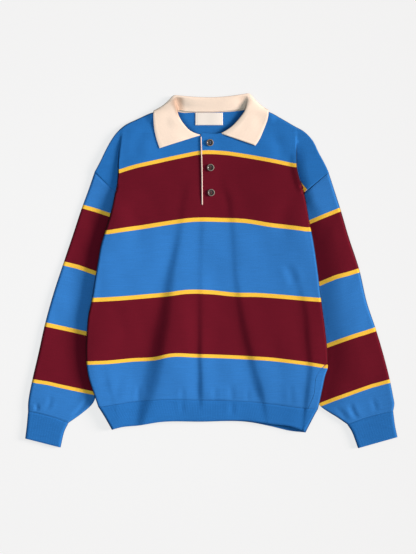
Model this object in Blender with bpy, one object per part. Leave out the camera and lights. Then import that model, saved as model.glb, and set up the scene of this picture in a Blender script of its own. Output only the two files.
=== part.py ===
"""Knitted polo sweater, laid flat on a surface.

Every table is in millimetres, seen from straight above: x runs to the right, y towards the collar and
z up from the surface. MM turns the points into metres when a mesh is made.
"""
import math

import bpy
import numpy as np
from mathutils.geometry import delaunay_2d_cdt

MM = 0.001

# ---- driving sizes ------------------------------------------------------------------------------
WALL = 2.4              # knitted cloth
SEAM = 0.4              # gap between two pieces that are sewn together
AIR = 2.8               # air between the front and the back of the body
SLEEVE_LOW = 6.0        # height of a sleeve where the body lies on it
SLEEVE_HIGH = 8.2       # height of a sleeve where it lies free
RAMP = 25.0             # width in which the body comes down from a sleeve
EDGE_ROUND = 9.0        # how far in from a folded edge the cloth is rounded
FALL_LIFT = 2.9         # the back of the body lies this high on the folded collar
COLLAR_WALL = 2.2
COLLAR_GAP = 1.0        # between a wing and the front under it
ROLL_RADIUS = 6.0       # of the collar's roll behind the neck
LATTICE = 20.0          # spacing of the points inside a panel
OUTLINE_STEP = 17.0     # spacing of the points along a panel's outline
FOLD_OFFSETS = (-0.6, 1.2, 2.8, 4.4, 6.0)       # lines beside a fold, towards the body
ARMHOLE_GAP = 0.6       # gap between the body and a sleeve
LINE_MARGIN = 2.0       # a line inside a panel ends this far from its outline
RIB_PITCH = 4.9
RIB_HEIGHT = 0.5
BUTTON_ACROSS = 15.2
BUTTON_THICK = 3.0
BUTTON_HOLE = 2.0
BUTTON_HOLE_APART = 3.0
BUTTON_SIDES = 16
PLACKET_LIFT = 2.0      # the right side of the slit lies on the left side
EDGING_WIDE = 3.4
EDGING_TOP = 283.0
LABEL_WIDE = 58.0
LABEL_LONG = 26.0
LABEL_THICK = 0.9

# ---- outlines: x, y -----------------------------------------------------------------------------
LEFT_SHOULDER = [(-75, 338), (-100, 337), (-123, 334), (-154, 321), (-185, 305), (-198, 293),
                 (-211, 275), (-223, 253), (-234, 230), (-246, 208)]
RIGHT_SHOULDER = [(76, 341), (100, 339), (121, 335), (150, 320), (174, 306), (195, 294),
                  (213, 275), (226, 249), (239, 225), (247, 207.5)]
# The body's folded edge, from the top of the fold at the shoulder down to the hem rib.
LEFT_EDGE = [(-190, 283), (-194, 255), (-196, 230), (-196.5, 203), (-198, 186), (-202, 165),
             (-205, 150), (-212, 119), (-222, 87), (-232, 54), (-238, 20), (-246, -28), (-251, -60),
             (-258, -91), (-261, -123), (-263, -165), (-261, -203), (-257, -224), (-248, -252),
             (-237, -285)]
RIGHT_EDGE = [(179, 283), (180, 247), (180, 223), (183, 206), (189, 185), (195, 162),
              (199, 143), (205, 109), (213.5, 66), (222, 9.5), (230, -56), (239, -123),
              (244, -180), (244, -203), (239, -219), (234.5, -240), (229, -266), (224, -288)]
# The armhole's seam as far as it shows; under the body it runs on, this many times as long in all.
LEFT_ARMHOLE = [(-246, 208), (-202, 165)]
RIGHT_ARMHOLE = [(247, 207.5), (195, 162)]
LEFT_ARMHOLE_LENGTH = 2.48
RIGHT_ARMHOLE_LENGTH = 2.17
FOLD_TOP = 283.0
LEFT_FOLD_END = 165.0                           # below this the folded edge is the panel's edge
RIGHT_FOLD_END = 162.0
LEFT_NECK = [(-75, 338), (-67, 316), (-54, 299), (-43, 289), (-25, 285)]
RIGHT_NECK = [(-20, 290.5), (16, 290), (33, 294), (47.5, 303.5), (62, 321), (76, 341)]
BACK_NECK = [(-75, 338), (-69, 335.5), (-35, 334), (24, 335), (65, 338.5), (76, 341)]
SLIT = [(-22.5, 285), (-20.5, 210), (-19.8, 140)]
SIDE_SEAM = [(244, -192), (232, -203), (223, -215), (215, -257), (203, -287.2)]
STRIP_RISE = 30.0       # length in which the strip beyond the side seam comes up to the front
# y of the hem seam and of the two lower edges at each x
HEM_SEAM = [(-237, -285), (-207, -280), (-116, -269), (-22, -270), (73, -273), (117, -277),
            (203, -287.2), (224, -288)]
HEM_FRONT = [(-209, -332), (-190, -327), (-152, -323), (-108, -316), (-24, -314.5), (81, -314),
             (127, -320.5), (165, -325), (198, -336)]
HEM_BACK = [(-209, -333), (-190, -328), (-152, -324), (-108, -317), (-24, -316), (81, -317),
            (127, -326), (165, -335), (198, -338.5)]


def underarm(armhole, length):
    """Where the armhole's seam ends, under the body."""
    (x0, y0), (x1, y1) = armhole
    return (x0 + (x1 - x0) * length, y0 + (y1 - y0) * length)


LEFT_UNDERARM = underarm(LEFT_ARMHOLE, LEFT_ARMHOLE_LENGTH)
RIGHT_UNDERARM = underarm(RIGHT_ARMHOLE, RIGHT_ARMHOLE_LENGTH)

# ---- sleeves: outer edge x, y, inner edge x, y, bow of the section ---------------------------------
LEFT_SLEEVE = [
    (*LEFT_ARMHOLE[0], *LEFT_UNDERARM, 0.0),
    (-258.0, 173.0, -135.5, 93.0, 2.0),
    (-271.6, 136.0, -134.5, 81.0, 4.0),
    (-290.5, 79.0, -139.0, 42.0, 0.0),
    (-311.5, 16.5, -153.0, -26.5, 0.0),
    (-332.5, -47.0, -177.0, -85.0, 0.0),
    (-350.0, -110.0, -203.0, -144.0, 0.0),
    (-364.0, -173.0, -225.5, -205.0, 0.0),
    (-377.0, -229.5, -241.0, -256.5, 0.0),
    (-383.0, -259.0, -250.5, -279.0, 0.0),
    (-385.5, -279.0, -273.0, -299.0, 0.0),
    (-385.5, -293.5, -300.5, -318.5, 3.0)]
LEFT_CUFF = [
    (-385.5, -293.9, -300.5, -318.9, 3.0),
    (-388.0, -322.0, -309.0, -336.5, 1.0),
    (-391.5, -351.0, -317.0, -370.0, 0.0)]
RIGHT_SLEEVE = [
    (*RIGHT_ARMHOLE[0], *RIGHT_UNDERARM, 0.0),
    (259.5, 169.0, 132.5, 92.0, 2.0),
    (272.3, 129.0, 131.5, 74.5, 3.0),
    (287.0, 79.0, 136.0, 28.5, 0.0),
    (312.0, 1.5, 152.5, -53.5, 0.0),
    (327.0, -64.0, 171.5, -114.5, 0.0),
    (346.0, -121.5, 192.5, -174.5, 0.0),
    (362.5, -177.5, 211.5, -230.0, 0.0),
    (376.0, -231.0, 228.0, -281.5, 0.0),
    (382.5, -263.5, 245.5, -295.0, 0.0),
    (385.0, -278.5, 265.0, -307.0, 0.0),
    (382.5, -293.5, 286.0, -321.5, 3.0)]
RIGHT_CUFF = [
    (382.5, -293.9, 286.0, -321.9, 3.0),
    (386.0, -321.5, 295.5, -337.0, 1.0),
    (391.5, -348.0, 308.5, -371.5, 0.0)]

# ---- collar: one row for each section, from its left front end round the neck to its right one -------
# A wing's row: seam x, y, z, top of the roll x, y, z, outer edge x, y, z (None: it lies on the front),
# place of the turn and length of the slope as shares of the way to the edge, roundness of the slope.
LEFT_WING = [
    (-23.5, 288.0, 6.8, -27.6, 286.5, 11.0, -107.0, 259.5, None, 0.24, 0.55, 0.0),
    (-41.5, 292.0, 6.8, -45.6, 290.5, 14.0, -113.0, 271.0, None, 0.24, 0.55, 0.0),
    (-52.5, 301.5, 6.8, -56.6, 300.3, 15.5, -117.0, 284.0, None, 0.24, 0.55, 0.0),
    (-65.0, 318.0, 6.8, -69.0, 316.8, 17.0, -120.5, 302.0, None, 0.24, 0.55, 0.0),
    (-71.0, 331.0, 6.7, -74.9, 330.0, 18.0, -121.5, 318.0, None, 0.26, 0.55, 0.1),
    (-71.0, 335.5, 6.3, -76.0, 345.0, 17.8, -122.0, 329.0, None, 0.35, 0.6, 0.25),
    (-69.5, 338.3, 5.6, -78.0, 352.0, 17.3, -121.8, 336.5, 9.5, 0.55, 0.8, 0.5),
    (-67.5, 339.3, 5.1, -78.5, 356.0, 16.5, -121.0, 338.0, 6.5, 0.85, 1.0, 0.85)]
RIGHT_WING = [
    (68.3, 343.0, 5.1, 78.0, 359.0, 16.5, 119.5, 339.8, 6.5, 0.85, 1.0, 0.85),
    (70.5, 341.8, 5.6, 77.5, 355.0, 17.3, 120.0, 338.0, 9.5, 0.55, 0.8, 0.5),
    (71.0, 338.5, 6.3, 75.5, 348.5, 17.8, 120.0, 331.0, None, 0.35, 0.6, 0.25),
    (69.0, 334.0, 6.7, 72.9, 333.0, 18.0, 119.0, 321.0, None, 0.26, 0.55, 0.1),
    (59.5, 321.5, 6.8, 63.5, 320.4, 17.0, 114.0, 307.0, None, 0.24, 0.55, 0.0),
    (45.5, 305.5, 6.8, 49.6, 304.4, 15.5, 107.5, 291.5, None, 0.24, 0.55, 0.0),
    (32.5, 296.5, 6.8, 36.6, 295.3, 14.0, 102.0, 277.5, None, 0.24, 0.55, 0.0),
    (22.0, 293.0, 6.8, 26.1, 291.2, 11.0, 92.5, 264.0, None, 0.24, 0.55, 0.0)]
# A row behind the neck: seam x, y, z, top of the roll x, y, z, outermost point of the turn x, y, z, edge
# x, y. From the turn on, the fall passes under the back at the height UNDER.
BACK_FALL = [
    (-65.0, 339.3, 4.7, -78.0, 359.0, 15.8, -114.3, 342.8, 5.0, -117.8, 338.9),
    (-62.5, 338.8, 4.4, -76.5, 360.8, 15.2, -107.0, 345.5, 6.8, -112.5, 331.0),
    (-58.5, 337.8, 4.1, -72.0, 362.0, 14.3, -93.0, 356.0, 7.0, -98.0, 323.0),
    (-50.0, 336.8, 4.1, -60.0, 361.8, 13.6, -66.0, 366.0, 7.2, -68.0, 316.5),
    (-20.0, 336.0, 4.1, -20.0, 361.5, 13.4, -20.0, 367.0, 7.2, -20.0, 315.0),
    (20.0, 336.8, 4.1, 20.0, 362.5, 13.4, 20.0, 369.0, 7.2, 20.0, 315.0),
    (50.0, 340.0, 4.1, 59.0, 364.5, 13.6, 64.0, 371.5, 7.2, 66.0, 317.0),
    (58.5, 341.2, 4.1, 72.0, 364.5, 14.3, 92.0, 358.5, 7.0, 97.0, 323.5),
    (62.5, 342.3, 4.4, 76.0, 363.0, 15.2, 106.0, 347.0, 6.8, 111.5, 331.5),
    (65.5, 343.0, 4.7, 77.5, 362.0, 15.8, 113.0, 342.9, 5.0, 117.2, 340.0)]
UNDER = 1.3

# ---- the largest folds of the front: start x, y, end x, y, bend, depth, half width ------------------
FOLDS = [
    (-77, 30, -137, -300, 10, 2.3, 11),
    (-21, -100, -27, -272, 0, 1.3, 10),
    (48, 74, 111, -275, -8, 1.8, 11),
    (187, -60, 206, -262, 8, 1.8, 10)]

# ---- buttons: name, x, y -----------------------------------------------------------------------------
BUTTONS = [("button_top", -2.8, 270.3), ("button_middle", -1.6, 217.8), ("button_bottom", -0.3, 165.3)]
LABEL_CENTRE = (-4.9, 320.5)

COLOURS = {
    "body_front": ((0.035, 0.19, 0.53), 0.85), "body_back": ((0.035, 0.19, 0.53), 0.85),
    "hem_rib": ((0.03, 0.17, 0.48), 0.85), "sleeve_left": ((0.13, 0.01, 0.018), 0.85),
    "sleeve_right": ((0.13, 0.01, 0.018), 0.85), "cuff_left": ((0.03, 0.17, 0.48), 0.85),
    "cuff_right": ((0.03, 0.17, 0.48), 0.85), "collar": ((0.93, 0.75, 0.6), 0.85),
    "placket_edging": ((0.9, 0.7, 0.6), 0.85), "neck_label": ((0.85, 0.8, 0.73), 0.7),
    "button_top": ((0.03, 0.02, 0.02), 0.3), "button_middle": ((0.03, 0.02, 0.02), 0.3),
    "button_bottom": ((0.03, 0.02, 0.02), 0.3)}


# ---- curves ------------------------------------------------------------------------------------------
def step(value, low, high):
    """0 below low, 1 above high, smooth between."""
    t = np.clip((np.asarray(value, float) - low) / (high - low), 0.0, 1.0)
    return t * t * (3.0 - 2.0 * t)


def spline(knots, values, at):
    """A smooth curve through the values (one row for each knot), read at the places given."""
    knots = np.asarray(knots, float)
    values = np.asarray(values, float)
    at = np.clip(at, knots[0], knots[-1])
    slopes = np.gradient(values, knots, axis=0)
    index = np.clip(np.searchsorted(knots, at, side="right") - 1, 0, len(knots) - 2)
    width = knots[index + 1] - knots[index]
    t = (at - knots[index]) / width
    if values.ndim == 2:
        width = width[:, None]
        t = t[:, None]
    start = (1 + 2 * t) * (1 - t) ** 2 * values[index] + t * (1 - t) ** 2 * width * slopes[index]
    end = t * t * (3 - 2 * t) * values[index + 1] + t * t * (t - 1) * width * slopes[index + 1]
    return start + end


def path(points, spacing):
    """A smooth line through the points, with a point about every spacing."""
    points = np.asarray(points, float)
    reach = np.concatenate([[0.0], np.cumsum(np.linalg.norm(np.diff(points, axis=0), axis=1))])
    count = max(2, int(math.ceil(reach[-1] / spacing)) + 1)
    return spline(reach, points, np.linspace(0.0, reach[-1], count))


def height_of(table, x):
    """y of a line given as a table of x, y that runs to the right."""
    table = np.asarray(table, float)
    return spline(table[:, 0], table[:, 1], np.asarray(x, float))


def slit_x(y):
    """x of the placket's slit at a height y."""
    return edge_x(SLIT, y)


def edge_x(table, y):
    """x of one of the body's folded edges at a height y."""
    table = np.asarray(table, float)[::-1]
    return spline(table[:, 1], table[:, 0], np.asarray(y, float))


def line_distance(points, line):
    """How far each point is from a line of points, with the sign of the side: positive on the left."""
    points = np.asarray(points, float)
    start = np.asarray(line, float)[:-1]
    along = np.asarray(line, float)[1:] - start
    offset = points[:, None, :] - start[None, :, :]
    t = np.clip((offset * along).sum(2) / (along ** 2).sum(1), 0.0, 1.0)
    gap = offset - t[:, :, None] * along[None, :, :]
    far = np.hypot(gap[:, :, 0], gap[:, :, 1])
    nearest = far.argmin(1)
    row = np.arange(len(points))
    side = along[nearest, 0] * offset[row, nearest, 1] - along[nearest, 1] * offset[row, nearest, 0]
    return np.where(side >= 0.0, 1.0, -1.0) * far[row, nearest]


def inside(points, loop):
    """Whether each point is inside a closed outline."""
    points = np.asarray(points, float)
    loop = np.asarray(loop, float)
    following = np.roll(loop, -1, axis=0)
    x = points[:, 0][:, None]
    y = points[:, 1][:, None]
    spans = (loop[:, 1] > y) != (following[:, 1] > y)
    rise = np.where(following[:, 1] == loop[:, 1], 1e-9, following[:, 1] - loop[:, 1])
    cross = loop[:, 0] + (y - loop[:, 1]) / rise * (following[:, 0] - loop[:, 0])
    return (spans & (x < cross)).sum(1) % 2 == 1


# ---- how high each layer lies --------------------------------------------------------------------------
def inner_line(sleeve, edge):
    """The line on the body's side up to which a tucked sleeve, or the pleat above it, reaches."""
    return [(edge[0][0], FOLD_TOP)] + [(row[2], row[3]) for row in sleeve[:-1]]


LEFT_INNER = inner_line(LEFT_SLEEVE, LEFT_EDGE)
RIGHT_INNER = inner_line(RIGHT_SLEEVE, RIGHT_EDGE)


def raised(points):
    """1 where the body lies on a tucked sleeve or on the pleat above it, 0 a ramp's width away."""
    left = line_distance(points, LEFT_INNER)
    right = -line_distance(points, RIGHT_INNER)
    share = np.maximum(1.0 - step(left, 2.0, 2.0 + RAMP), 1.0 - step(right, 2.0, 2.0 + RAMP))
    return share * step(FOLD_TOP - points[:, 1], 0.0, 70.0)


def wing_depth(points):
    """How far a point lies outside the body's folded edge, negative on the body."""
    left = edge_x(LEFT_EDGE, points[:, 1]) - points[:, 0]
    right = points[:, 0] - edge_x(RIGHT_EDGE, points[:, 1])
    return np.maximum(left, right)


def lower_top(points):
    """Top of the lower layer: the sleeves, and the parts of the shoulders beyond the fold."""
    valley = 1.0 - step(wing_depth(points), 4.0, 42.0)
    fade = step(FOLD_TOP - points[:, 1], 0.0, 60.0)
    return SLEEVE_HIGH - (SLEEVE_HIGH - SLEEVE_LOW) * valley * fade


def fall_edge(x):
    """y of the collar's outer edge under the back."""
    return 314.0 + 14.0 * step(np.abs(x), 50.0, 118.0)


def collar_lift(points):
    """How far the collar, folded under the back, lifts the body."""
    share = step(points[:, 1] - fall_edge(points[:, 0]), -20.0, -4.0)
    return FALL_LIFT * share * (1.0 - step(np.abs(points[:, 0]), 122.0, 140.0))


def armhole_directions(armhole):
    """Along an armhole's seam towards the underarm, and across it towards the neck."""
    start = np.asarray(armhole[0], float)
    along = (np.asarray(armhole[1], float) - start) / math.dist(armhole[0], armhole[1])
    across = np.array([-along[1], along[0]]) * (1.0 if along[0] > 0 else -1.0)
    return along, across


def beyond_armhole(points, armhole, end):
    """1 on the sleeve's side of an armhole's seam, 0 on the neck's side; a ramp past the underarm."""
    along, across = armhole_directions(armhole)
    offset = points - np.asarray(end)
    past = np.maximum(offset @ along, 0.0)
    return 1.0 - step(offset @ across, -0.01, past)


def on_body(points, low, high):
    """0 on a shoulder beyond the fold, 1 on the body, with the step between low and high."""
    depth = -wing_depth(points)
    left = (points[:, 0] < 0) & (points[:, 1] >= LEFT_FOLD_END)
    right = (points[:, 0] > 0) & (points[:, 1] >= RIGHT_FOLD_END)
    return np.where(left | right, step(depth, low, high), 1.0)


def back_bottom(points):
    sleeve_side = np.where(points[:, 0] < 0, beyond_armhole(points, LEFT_ARMHOLE, LEFT_UNDERARM),
                           beyond_armhole(points, RIGHT_ARMHOLE, RIGHT_UNDERARM))
    lying = (SLEEVE_LOW + 0.3) * raised(points) * sleeve_side
    return np.maximum(lying, collar_lift(points))


def back_top_plain(points):
    return WALL + np.maximum((SLEEVE_LOW + 0.3) * raised(points), collar_lift(points))


def fold_relief(points):
    """Height of the soft folds: a trough with a low ridge on each side."""
    relief = np.zeros(len(points))
    for x0, y0, x1, y1, bend, depth, half in FOLDS:
        start = np.array([x0, y0], float)
        end = np.array([x1, y1], float)
        middle = (start + end) / 2 + np.array([bend, 0.0])
        line = path([start, middle, end], 30.0)
        far = np.abs(line_distance(points, line))
        length = np.linalg.norm(end - start)
        t = np.clip(((points - start) @ (end - start)) / length ** 2, 0.0, 1.0)
        strength = step(t, 0.0, 0.3) * (1.0 - 0.6 * step(t, 0.75, 1.0))
        relief += strength * depth * (0.45 * np.exp(-((far - 1.9 * half) / half) ** 2)
                                      - np.exp(-(far / half) ** 2))
    return relief


def soft_edges():
    """The lines where the front and the back are one folded edge."""
    left = [point for point in LEFT_EDGE if point[1] <= LEFT_FOLD_END]
    right = [point for point in RIGHT_EDGE if point[1] <= RIGHT_FOLD_END]
    return [path(LEFT_SHOULDER, 8.0), path(RIGHT_SHOULDER, 8.0), path(left, 8.0), path(right, 8.0)]


SOFT_EDGES = soft_edges()


def edge_distance(points):
    return np.min([np.abs(line_distance(points, line)) for line in SOFT_EDGES], axis=0)


def air(points):
    """Air between the front and the back: none at a folded edge, more or less at a fold."""
    return np.clip(AIR + fold_relief(points), 0.3, 3.7) * step(edge_distance(points), -3.0, 14.0)


def front_bottom(points):
    body = back_top_plain(points) + 0.3 + air(points)
    wing = np.maximum(lower_top(points) - WALL, 0.0) + collar_lift(points)
    wing = np.minimum(wing, body)
    return wing + (body - wing) * on_body(points, 2.8, 5.4)


def rounding(points):
    near = np.clip(edge_distance(points) / EDGE_ROUND, 0.0, 1.0)
    return np.sqrt(1.0 - (1.0 - near) ** 2)


def placket_lift(points):
    """The side of the slit that carries the buttonholes lies on the other side."""
    from_slit = points[:, 0] - slit_x(points[:, 1])
    share = (from_slit > 0.05) * (1.0 - step(from_slit, 4.0, 40.0)) * step(points[:, 1], 138.0, 168.0)
    return PLACKET_LIFT * share


def front_top(points):
    body = back_top_plain(points) + 0.3 + air(points) + WALL
    wing = np.minimum(lower_top(points) + collar_lift(points), body)
    free = wing + (body - wing) * on_body(points, -0.6, 2.6)
    low = front_bottom(points) + 0.9
    return low + np.maximum(free - low, 0.0) * rounding(points) + placket_lift(points)


def back_top(points):
    body = back_top_plain(points)
    wing = WALL + collar_lift(points)
    return wing + (body - wing) * on_body(points, 3.4, 6.0)


def strip_share(points):
    """1 on the strip of the back that rolls forward at the lower right, 0 elsewhere."""
    beyond = points[:, 0] > edge_x(SIDE_SEAM, points[:, 1])
    return beyond * step(SIDE_SEAM[0][1] - points[:, 1], 0.0, STRIP_RISE)


def back_top_with_strip(points):
    low = back_top_plain(points)
    rolled = (0.3 + AIR + WALL) * rounding(points)
    return np.where(points[:, 1] < SIDE_SEAM[0][1], low + rolled * strip_share(points), back_top(points))


# ---- meshes --------------------------------------------------------------------------------------------
def make_object(name, vertices, faces, smooth=True):
    mesh = bpy.data.meshes.new(name)
    mesh.from_pydata([tuple(float(v) * MM for v in vertex) for vertex in vertices], [], faces)
    mesh.validate()
    if smooth:
        mesh.shade_smooth()
        mesh.set_sharp_from_angle(angle=math.radians(50.0))
    colour, roughness = COLOURS[name]
    material = bpy.data.materials.new(name)
    material.use_nodes = True
    shader = material.node_tree.nodes["Principled BSDF"]
    shader.inputs["Base Color"].default_value = (*colour, 1.0)
    shader.inputs["Roughness"].default_value = roughness
    shader.inputs["Metallic"].default_value = 0.0
    mesh.materials.append(material)
    thing = bpy.data.objects.new(name, mesh)
    bpy.context.scene.collection.objects.link(thing)
    return thing


def lattice_points(outline, lines, spacing):
    """Points of a triangular lattice inside an outline, clear of it and of the lines."""
    low = outline.min(0)
    high = outline.max(0)
    rows = []
    for index, y in enumerate(np.arange(low[1], high[1], spacing * 0.87)):
        xs = np.arange(low[0] + (index % 2) * spacing / 2, high[0], spacing)
        rows.append(np.column_stack([xs, np.full(len(xs), y)]))
    points = np.concatenate(rows)
    points = points[inside(points, outline)]
    closed = np.concatenate([outline, outline[:1]])
    for line in [closed] + lines:
        points = points[np.abs(line_distance(points, line)) > spacing * 0.5]
    return points


def fold_end(table, limit):
    """The panel's side below a fold at the shoulder; its second point is just past the armhole."""
    side = path(below(table, limit), OUTLINE_STEP)
    toward = (side[1] - side[0]) / np.linalg.norm(side[1] - side[0])
    return np.concatenate([side[:1], side[:1] + toward * 0.5, side[1:]])


def hidden_armhole(armhole, end, side):
    """Two lines beside the part of an armhole's seam under the body, one on each side of it."""
    across = armhole_directions(armhole)[1]
    share = np.linspace(0.0, 1.0, 6)[:, None]
    return [side[0] * (1 - share) + (end + across * 0.15) * share,
            side[1] * (1 - share) + (end - across * 0.15) * share]


def clipped(line, outline, margin):
    """The stretches of a line that lie inside an outline, at least a margin from it."""
    closed = np.concatenate([outline, outline[:1]])
    keep = inside(line, outline) & (np.abs(line_distance(line, closed)) > margin)
    stretches = []
    current = []
    for point, kept in zip(line, keep):
        if kept:
            current.append(point)
        elif current:
            stretches.append(np.array(current))
            current = []
    if current:
        stretches.append(np.array(current))
    return [stretch for stretch in stretches if len(stretch) > 1]


def panel(name, outline, lines, top, bottom, anchored=(), spacing=LATTICE):
    """A cloth wall: an outline filled with triangles, at the heights of its top and its bottom.

    The anchored lines start on the outline, and the others keep clear of it.
    """
    outline = np.asarray(outline, float)
    lines = [stretch for line in lines for stretch in clipped(line, outline, LINE_MARGIN)]
    lines += anchored
    points = [outline]
    edges = []
    start = len(outline)
    for line in lines:
        points.append(line)
        edges += [(start + i, start + i + 1) for i in range(len(line) - 1)]
        start += len(line)
    points.append(lattice_points(outline, lines, spacing))
    plan = np.concatenate(points)
    filled = delaunay_2d_cdt([tuple(p) for p in plan], edges, [list(range(len(outline)))], 1, 1e-5)
    flat = np.array([tuple(p) for p in filled[0]])
    triangles = [tuple(face) for face in filled[2]]
    place = {}
    for new, olds in enumerate(filled[3]):
        for old in olds:
            place[old] = new
    count = len(flat)
    high = top(flat)
    low = bottom(flat)
    vertices = np.concatenate([np.column_stack([flat, high]), np.column_stack([flat, low])])
    faces = list(triangles)
    faces += [tuple(count + index for index in reversed(face)) for face in triangles]
    rim = [place[index] for index in range(len(outline))]
    for here, after in zip(rim, rim[1:] + rim[:1]):
        faces.append((here, here + count, after + count, after))
    return make_object(name, vertices, faces)


def ring_walls(name, outer, inner, smooth=True):
    """An open tube: rings of points for its outside and its inside, joined at both ends."""
    rings = len(outer)
    around = len(outer[0])
    vertices = [point for ring in outer for point in ring] + [point for ring in inner for point in ring]
    base = rings * around
    faces = []
    for r in range(rings - 1):
        for i in range(around):
            j = (i + 1) % around
            a, b, c, d = r * around + i, r * around + j, (r + 1) * around + j, (r + 1) * around + i
            faces.append((a, b, c, d))
            faces.append((base + a, base + d, base + c, base + b))
    last = (rings - 1) * around
    for i in range(around):
        j = (i + 1) % around
        faces.append((j, i, base + i, base + j))
        faces.append((last + i, last + j, base + last + j, base + last + i))
    return make_object(name, vertices, faces, smooth)


def grid_wall(name, middle, thickness):
    """A band of cloth: a grid of points for its middle, moved out by half its thickness each way."""
    middle = np.asarray(middle, float)
    along = np.gradient(middle, axis=0)
    across = np.gradient(middle, axis=1)
    normal = np.cross(along, across)
    normal /= np.linalg.norm(normal, axis=2)[:, :, None]
    rows, columns = middle.shape[:2]
    upper = (middle + normal * thickness / 2).reshape(-1, 3)
    lower = (middle - normal * thickness / 2).reshape(-1, 3)
    upper[:, 2] = np.maximum(upper[:, 2], 0.0)
    lower[:, 2] = np.maximum(lower[:, 2], 0.0)
    count = rows * columns
    faces = []
    for r in range(rows - 1):
        for c in range(columns - 1):
            a = r * columns + c
            quad = (a, a + columns, a + columns + 1, a + 1)
            faces.append(quad)
            faces.append(tuple(count + index for index in reversed(quad)))
    rim = [c for c in range(columns)]
    rim += [r * columns + columns - 1 for r in range(1, rows)]
    rim += [(rows - 1) * columns + c for c in range(columns - 2, -1, -1)]
    rim += [r * columns for r in range(rows - 2, 0, -1)]
    for here, after in zip(rim, rim[1:] + rim[:1]):
        faces.append((here, after, after + count, here + count))
    return make_object(name, np.concatenate([upper, lower]), faces)


# ---- the flat tubes: sleeves, cuffs and hem rib ------------------------------------------------------
def flat_ring(start, end, bow, fractions, top, bottom, back_fractions, turn_points):
    """One section of a flattened tube, outside and inside.

    It goes over the top from start to end, round the edge, back along the bottom and round again.
    """
    start = np.asarray(start, float)
    end = np.asarray(end, float)
    width = np.linalg.norm(end - start)
    along = (end - start) / width
    across = np.array([-along[1], along[0]])
    across = across if across[1] > 0 else -across

    def plan(distance):
        q = np.clip(np.asarray(distance, float) / width, 0.0, 1.0)
        return start + np.outer(distance, along) + np.outer(bow * 4 * q * (1 - q), across)

    ends = plan(np.array([0.0, width]))
    low = bottom(ends)
    high = top(ends)
    radius = (high - low) / 2
    walls = []
    for inset in (0.0, WALL):
        first = radius[0]
        last = width - radius[1]
        over = first + (last - first) * np.asarray(fractions)
        under = first + (last - first) * np.asarray(back_fractions)[::-1]
        over_plan = plan(over)
        under_plan = plan(under)
        ring = [(p[0], p[1], z) for p, z in zip(over_plan, top(over_plan) - inset)]
        for k in range(1, turn_points + 1):
            angle = math.pi / 2 - math.pi * k / (turn_points + 1)
            point = plan(np.array([last + (radius[1] - inset) * math.cos(angle)]))[0]
            ring.append((point[0], point[1], (low[1] + high[1]) / 2 + (radius[1] - inset) * math.sin(angle)))
        ring += [(p[0], p[1], z) for p, z in zip(under_plan, bottom(under_plan) + inset)]
        for k in range(1, turn_points + 1):
            angle = -math.pi / 2 - math.pi * k / (turn_points + 1)
            point = plan(np.array([first + (radius[0] - inset) * math.cos(angle)]))[0]
            ring.append((point[0], point[1], (low[0] + high[0]) / 2 + (radius[0] - inset) * math.sin(angle)))
        walls.append(ring)
    return walls


def floor_level(points):
    return np.zeros(len(points))


def edge_fraction(row, edge, sign):
    """Where along a sleeve's section the body's folded edge crosses it, from 0 to 1."""
    q = np.linspace(0.0, 1.0, 201)
    x = row[0] + (row[2] - row[0]) * q
    y = row[1] + (row[3] - row[1]) * q
    out = (edge_x(edge, y) - x) * sign
    hidden = np.nonzero(out < 0.0)[0]
    return q[hidden[0]] if len(hidden) and y[0] > -290 else 1.0


def sleeve(name, table, edge, sign):
    outer = []
    inner = []
    for row in table:
        crossing = edge_fraction(row, edge, sign)
        free = np.linspace(0.0, 1.0, 6) * min(crossing, 0.95) * 0.93
        tucked = np.linspace(min(crossing, 0.95), 1.0, 4)
        fractions = np.concatenate([free, tucked])
        walls = flat_ring(row[0:2], row[2:4], row[4], fractions, lower_top, floor_level,
                          np.linspace(0.0, 1.0, 4), 2)
        outer.append(walls[0])
        inner.append(walls[1])
    return outer, inner


def make_sleeves():
    for name, table, edge, sign in (("sleeve_left", LEFT_SLEEVE, LEFT_EDGE, 1.0),
                                    ("sleeve_right", RIGHT_SLEEVE, RIGHT_EDGE, -1.0)):
        outer, inner = sleeve(name, table, edge, sign)
        armhole = np.array(table[0][2:4]) - np.array(table[0][0:2])
        out = np.array([armhole[1], -armhole[0]]) / np.linalg.norm(armhole)
        out = out if out[1] < 0 else -out
        gap = out * ARMHOLE_GAP
        outer[0] = [(x + gap[0], y + gap[1], z) for x, y, z in outer[0]]
        inner[0] = [(x + gap[0], y + gap[1], z) for x, y, z in inner[0]]
        if sign > 0:
            outer = [ring[::-1] for ring in outer]
            inner = [ring[::-1] for ring in inner]
        ring_walls(name, outer, inner)


def ribbed(ring, first, last):
    """A ring whose points from first to last are raised one by one into ribs."""
    return [(x, y, z + (RIB_HEIGHT if first <= i <= last and (i - first) % 2 else 0.0))
            for i, (x, y, z) in enumerate(ring)]


def make_cuffs():
    for name, table, sign in (("cuff_left", LEFT_CUFF, 1.0), ("cuff_right", RIGHT_CUFF, -1.0)):
        width = np.hypot(table[-1][2] - table[-1][0], table[-1][3] - table[-1][1])
        ribs = int(width / RIB_PITCH)
        outer = []
        inner = []
        for row in table:
            walls = flat_ring(row[0:2], row[2:4], row[4], np.linspace(0.0, 1.0, 2 * ribs + 1),
                              lambda points: lower_top(points) - 0.4, floor_level,
                              np.linspace(0.0, 1.0, 6), 2)
            outer.append(ribbed(walls[0], 1, 2 * ribs - 1))
            inner.append(walls[1])
        if sign > 0:
            outer = [ring[::-1] for ring in outer]
            inner = [ring[::-1] for ring in inner]
        ring_walls(name, outer, inner, smooth=False)


def hem_top(points):
    return np.maximum(back_top_plain(points) + 0.3 + np.clip(AIR + fold_relief(points), 0.3, 3.7) + WALL, 7.0)


def hem_bottom(points):
    return (SLEEVE_LOW + 0.3) * raised(points)


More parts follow.
